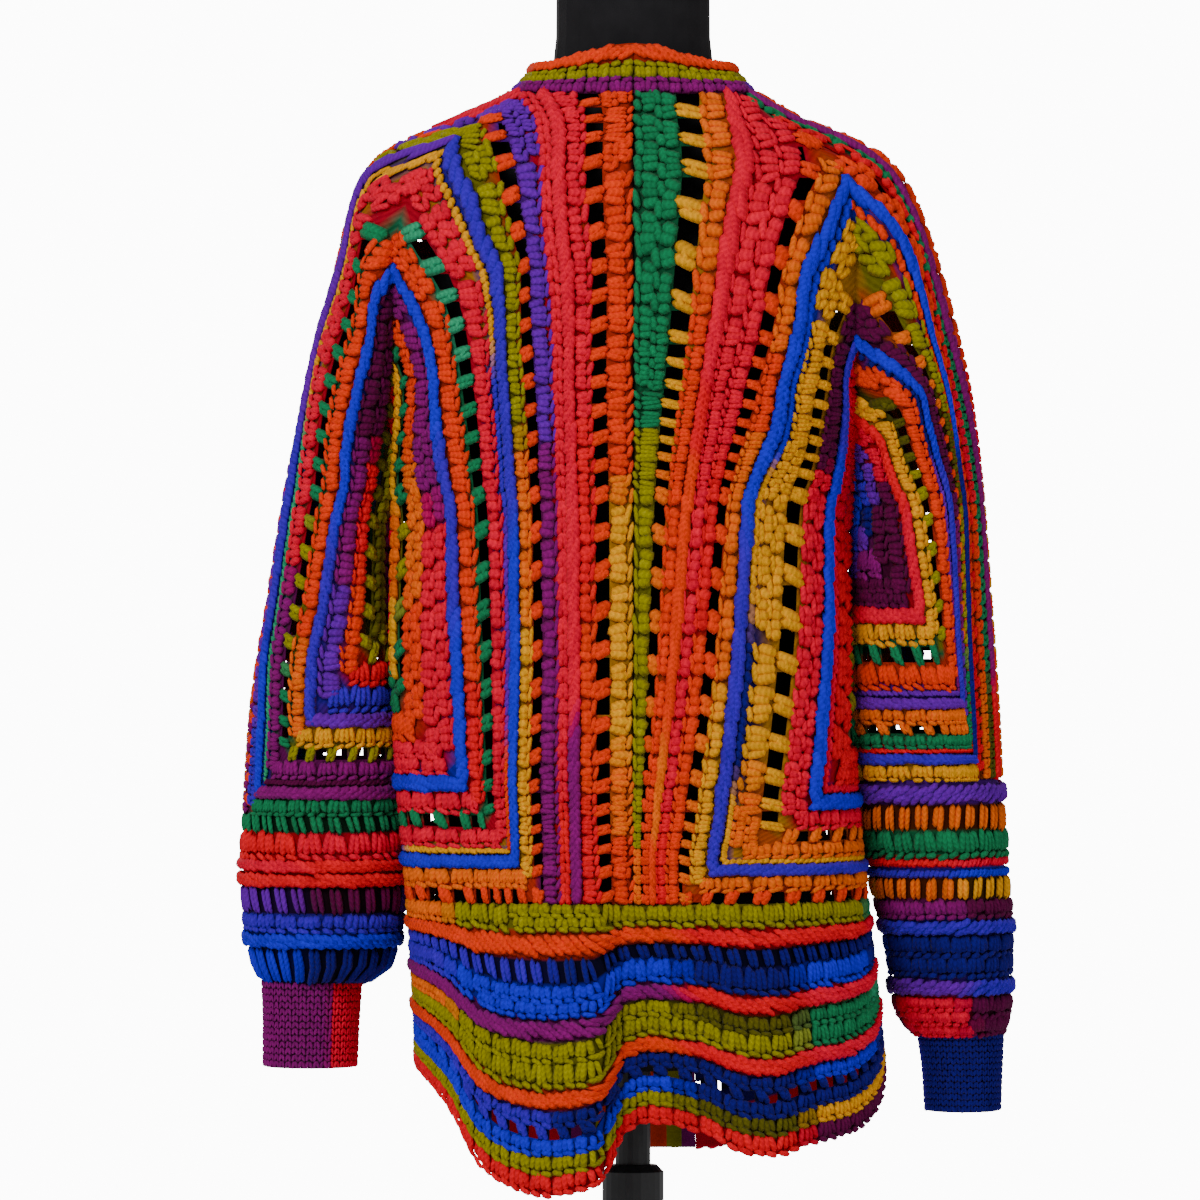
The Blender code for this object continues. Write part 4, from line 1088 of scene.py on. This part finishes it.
def band_shell(band):
    flat, triangles = band_grid(band)
    colours = np.zeros((len(flat), 3))
    lift = np.zeros(len(flat))
    for row in band.rows:
        here = (flat[:, 1] >= row.low - ON_EDGE) & (flat[:, 1] <= row.high + ON_EDGE)
        # Open rows' shell is darkened more, as painted shade behind the openwork
        openwork_painted_shade = GAP_PAINTED_SHADE if row.kind in ("mesh", "dots") else 1
        colours[here] = yarn_at(row.yarns, (flat[here, 0] - band.start) / (band.stop - band.start)) * openwork_painted_shade
        if row.kind == "ridge":
            lift[np.isclose(flat[:, 1], middle_of(row))] = RIDGE * RIDGE_SHARE
    # The whole shell is darkened as painted shade between the stitches
    return shell_mesh(
        f"shell_{band.word}", band.cloth, flat, triangles, lift, colours * SHELL_PAINTED_SHADE, band.look
    )


def add_cloth(shell, stitches, node, slot, rests_on, **flat):
    """A shell with its stitches, in place of its solid."""
    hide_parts(node)


def add_band(band):
    add_cloth(band_shell(band), band_stitches(band), band.node, band.slot, band.rests_on, flat=band.flat)


def from_axis(x, y):
    return lambda points, flat: (points - [x, y, 0]) * [1, 1, 0]


# Materials
PLY_SLANT = 1.1
PLY_HEIGHT = 0.5
# Painted shade: how much darker the yarn is in the grooves of its ply twist
PLY_GROOVE_PAINTED_SHADE = 0.10
FLECK_SHADE = 0.55
LEAST_SHADE = 0.66


def new_material(name, roughness, **inputs):
    """A material with its node tree and shader; an input's spaces are underscores in its keyword."""
    made = bpy.data.materials.new(name)
    made.use_nodes = True
    shader = made.node_tree.nodes["Principled BSDF"]
    shader.inputs["Roughness"].default_value = roughness
    for word, value in inputs.items():
        shader.inputs[word.replace("_", " ")].default_value = value
    return made, made.node_tree, shader


def math_node(tree, operation, *values):
    node = tree.nodes.new("ShaderNodeMath")
    node.operation = operation
    for k, value in enumerate(values):
        if isinstance(value, (int, float)):
            node.inputs[k].default_value = value
        else:
            tree.links.new(value, node.inputs[k])
    return node.outputs[0]


def texture(tree, kind, **values):
    """The factor of a texture in the object's own coordinates."""
    node = tree.nodes.new(kind)
    for name, value in values.items():
        node.inputs[name].default_value = value
    place = tree.nodes.new("ShaderNodeTexCoord")
    tree.links.new(place.outputs["Object"], node.inputs["Vector"])
    return node.outputs["Fac"]


def add_bump(tree, shader, height, strength, distance):
    bump = tree.nodes.new("ShaderNodeBump")
    bump.inputs["Strength"].default_value = strength
    bump.inputs["Distance"].default_value = distance
    tree.links.new(height, bump.inputs["Height"])
    tree.links.new(bump.outputs[0], shader.inputs["Normal"])


def add_ramp(tree, shader, factor, dark, pale):
    ramp = tree.nodes.new("ShaderNodeValToRGB")
    ramp.color_ramp.elements[0].color = dark
    ramp.color_ramp.elements[1].color = pale
    tree.links.new(factor, ramp.inputs[0])
    tree.links.new(ramp.outputs[0], shader.inputs["Base Color"])


def wool(name):
    """Plied wool: the yarn's own colour, flecked along its fibres, with the twist of its plies as bump, and
    as painted shade that darkens the yarn in the grooves between its plies.
    """
    made, tree, shader = new_material(
        name, 0.82, Sheen_Weight=0.03, Sheen_Roughness=0.45, Specular_IOR_Level=0.08
    )
    tint = tree.nodes.new("ShaderNodeAttribute")
    tint.attribute_name = "yarn"
    strand = tree.nodes.new("ShaderNodeUVMap")
    strand.uv_map = "strand"
    split = tree.nodes.new("ShaderNodeSeparateXYZ")
    tree.links.new(strand.outputs[0], split.inputs[0])
    turn = math_node(tree, "MULTIPLY_ADD", split.outputs[1], PLY_SLANT, split.outputs[0])
    ply = math_node(tree, "SINE", math_node(tree, "MULTIPLY", turn, 2 * pi))
    fibres = texture(tree, "ShaderNodeTexNoise", Scale=900.0, Detail=3.0, Roughness=0.65)
    flecks = texture(tree, "ShaderNodeTexNoise", Scale=260.0, Detail=3.0, Roughness=0.7)
    height = math_node(tree, "MULTIPLY_ADD", ply, PLY_HEIGHT, fibres)
    add_bump(tree, shader, height, strength=0.55, distance=0.0006)
    spread = math_node(tree, "MULTIPLY_ADD", flecks, FLECK_SHADE, LEAST_SHADE)
    # Painted shade: the yarn's colour darkens in the grooves of its plies' twist, where the bump is low
    groove_shaded = math_node(tree, "MULTIPLY_ADD", ply, PLY_GROOVE_PAINTED_SHADE, spread)
    shade = tree.nodes.new("ShaderNodeVectorMath")
    shade.operation = "SCALE"
    tree.links.new(tint.outputs["Color"], shade.inputs[0])
    tree.links.new(groove_shaded, shade.inputs["Scale"])
    tree.links.new(shade.outputs[0], shader.inputs["Base Color"])
    return made


def jersey():
    """Black stretch jersey with fine ribs, on the dress form."""
    made, tree, shader = new_material("black_jersey", 0.88, Sheen_Weight=0.02, Specular_IOR_Level=0.12)
    lint = texture(tree, "ShaderNodeTexNoise", Scale=60.0, Detail=5.0)
    add_ramp(tree, shader, lint, dark=(0.006, 0.006, 0.007, 1), pale=(0.020, 0.019, 0.021, 1))
    ribs = texture(tree, "ShaderNodeTexWave", Scale=420.0, Distortion=0.6)
    add_bump(tree, shader, ribs, strength=0.25, distance=0.0003)
    return made


def stand_black():
    """Satin black paint with faint wear."""
    made, tree, shader = new_material("satin_black", 0.38, Metallic=0.3)
    wear = texture(tree, "ShaderNodeTexNoise", Scale=45.0, Detail=6.0, Roughness=0.6)
    add_ramp(tree, shader, wear, dark=(0.008, 0.008, 0.009, 1), pale=(0.030, 0.030, 0.032, 1))
    rough = math_node(tree, "MULTIPLY_ADD", wear, 0.25, 0.25)
    tree.links.new(rough, shader.inputs["Roughness"])
    return made


def dress(look, *nodes):
    for node in nodes:
        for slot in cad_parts[node].material_slots:
            slot.material = look


WOOL = {1: wool("wool_left"), -1: wool("wool_right")}
BAND_WOOL = wool("wool_bands")
CUFF_WOOL = wool("wool_cuffs")
dress(jersey(), "form_torso")
dress(
    stand_black(), "form_neck_cap", "form_plate", "stand_pole_upper", "stand_collar", "stand_pole_lower",
    "stand_base",
)

# Camera behind the form, level with the cardigan's middle and tipped down a little, as in the photo
PHOTO_PIXELS = 1200
PIXELS_A_METRE = 1398
CAMERA_FAR = 9.0
CAMERA_RISE = radians(1.0)
LOOK_AT = Vector((0.0236, 0.0, 1.0680))
PAPER_WHITE = 12.0
SOFT_LIGHT = 0.48
FLOOR_HALF = 1.7
AreaLight = namedtuple("AreaLight", "name place target size power")
LIGHTS = table(
    AreaLight,
    ("key", (1.2, 2.4, 2.7), (0, 0, 1.1), 1.0, 52),
    ("fill", (-2.4, 1.6, 1.5), (0, 0, 1.0), 1.8, 10),
    ("front", (0.5, -2.6, 1.9), (0, 0, 1.0), 1.8, 30),
)


def camera():
    data = bpy.data.cameras.new("camera")
    data.sensor_width = 36
    data.angle = 2 * atan(PHOTO_PIXELS / PIXELS_A_METRE / 2 / CAMERA_FAR)
    made = add_object("camera", data)
    back = Vector((0, np.cos(CAMERA_RISE), np.sin(CAMERA_RISE)))
    made.location = LOOK_AT + back * CAMERA_FAR
    made.rotation_euler = back.to_track_quat("Z", "Y").to_euler()
    bpy.context.scene.camera = made


def area_light(light):
    data = bpy.data.lights.new(light.name, "AREA")
    data.size = light.size
    data.energy = light.power
    made = add_object(light.name, data)
    made.location = light.place
    made.rotation_euler = (Vector(light.place) - Vector(light.target)).to_track_quat("Z", "Y").to_euler()


def studio():
    """Paper white where the camera sees past the floor, and a soft light from all round."""
    world = bpy.data.worlds.new("studio")
    world.use_nodes = True
    tree = world.node_tree
    ray = tree.nodes.new("ShaderNodeLightPath")
    background = tree.nodes["Background"]
    background.inputs["Color"].default_value = (1.0, 1.0, 1.0, 1)
    seen = ray.outputs["Is Camera Ray"]
    strength = math_node(tree, "MULTIPLY_ADD", seen, PAPER_WHITE - SOFT_LIGHT, SOFT_LIGHT)
    tree.links.new(strength, background.inputs["Strength"])
    bpy.context.scene.world = world
    for light in LIGHTS:
        area_light(light)
    mesh = bpy.data.meshes.new("floor")
    corners = [(x * FLOOR_HALF, y * FLOOR_HALF, 0) for x, y in ((-1, -1), (1, -1), (1, 1), (-1, 1))]
    mesh.from_pydata(corners, [], [(0, 1, 2, 3)])
    mesh.materials.append(new_material("pale_floor", 0.8, Base_Color=(0.85, 0.85, 0.85, 1))[0])
    add_object("floor", mesh)


camera()
studio()

# Cut sizes of the cloth, laid flat, in metres
HEXAGON_FLAT = (0.48, 0.55)
HEXAGON_AREA = 0.180
HEM_FLAT = (1.02, 0.18)
SLEEVE_FLAT = (0.33, 0.12)
CUFF_FLAT = (0.19, 0.062)
NECK_FLAT = (0.90, 0.034)

# Stitches along the bands: a turn of a tube is 2 pi, the hem runs from -2 to 2, and the neck's are in metres
TUBE_PITCH = 0.157
HEM_PITCH = 0.034
NECK_STITCH = 0.0085
KNIT_ROWS = 13
CUFF_YARNS = {1: "MMMMCCCCMMPM", -1: "NNIN"}

for side in (1, -1):
    word = side_word(side)
    for face in (1, -1):
        shell = hexagon_shell(side, face, WOOL[side])
        stitches = hexagon_stitches(side, face, WOOL[side])
        add_cloth(
            shell, stitches, f"hexagon_{layer_word(face)}_{word}", "wool_" + word, ["form_torso"],
            flat=HEXAGON_FLAT, area=HEXAGON_AREA,
        )
    from_tube = from_axis(side * TUBE_AXIS[0], TUBE_AXIS[1])
    knit = band_rows(*(((i + 1) / KNIT_ROWS, "knit", CUFF_YARNS[side]) for i in range(KNIT_ROWS)))
    sleeve = Cloth(tube_place((cuff_slice(side), *SLEEVE_TUBES[side]), side), from_tube, TUBE_REACH)
    add_band(Band(
        f"sleeve_band_{word}", f"sleeve_band_{word}", sleeve, SLEEVE_BAND_ROWS[side],
        0.0, 2 * pi, TUBE_PITCH, True, BAND_WOOL, "wool_bands", SLEEVE_FLAT, [f"shell_back_{word}"],
    ))
    cuff = Cloth(tube_place(CUFF_TUBES[side], side), from_tube, TUBE_REACH)
    add_band(Band(
        f"cuff_{word}", f"cuff_{word}", cuff, knit,
        0.0, 2 * pi, TUBE_PITCH, True, CUFF_WOOL, "wool_cuffs", CUFF_FLAT, [f"shell_back_{word}"],
    ))
    neck, neck_length = neck_place(side)
    add_band(Band(
        f"front_neck_band_{word}", f"neck_{word}", Cloth(neck, from_axis(0, 0), NECK_REACH), NECK_ROWS,
        0.0, 1.0, NECK_STITCH / neck_length, False, BAND_WOOL, "wool_bands", NECK_FLAT, ["form_torso"],
    ))

add_band(Band(
    "hem_band", "hem", Cloth(hem_place, from_axis(0, 0), HEM_REACH), HEM, -2.0, 2.0, HEM_PITCH, False,
    BAND_WOOL, "wool_bands", HEM_FLAT, ["shell_back_left", "shell_back_right"],
))
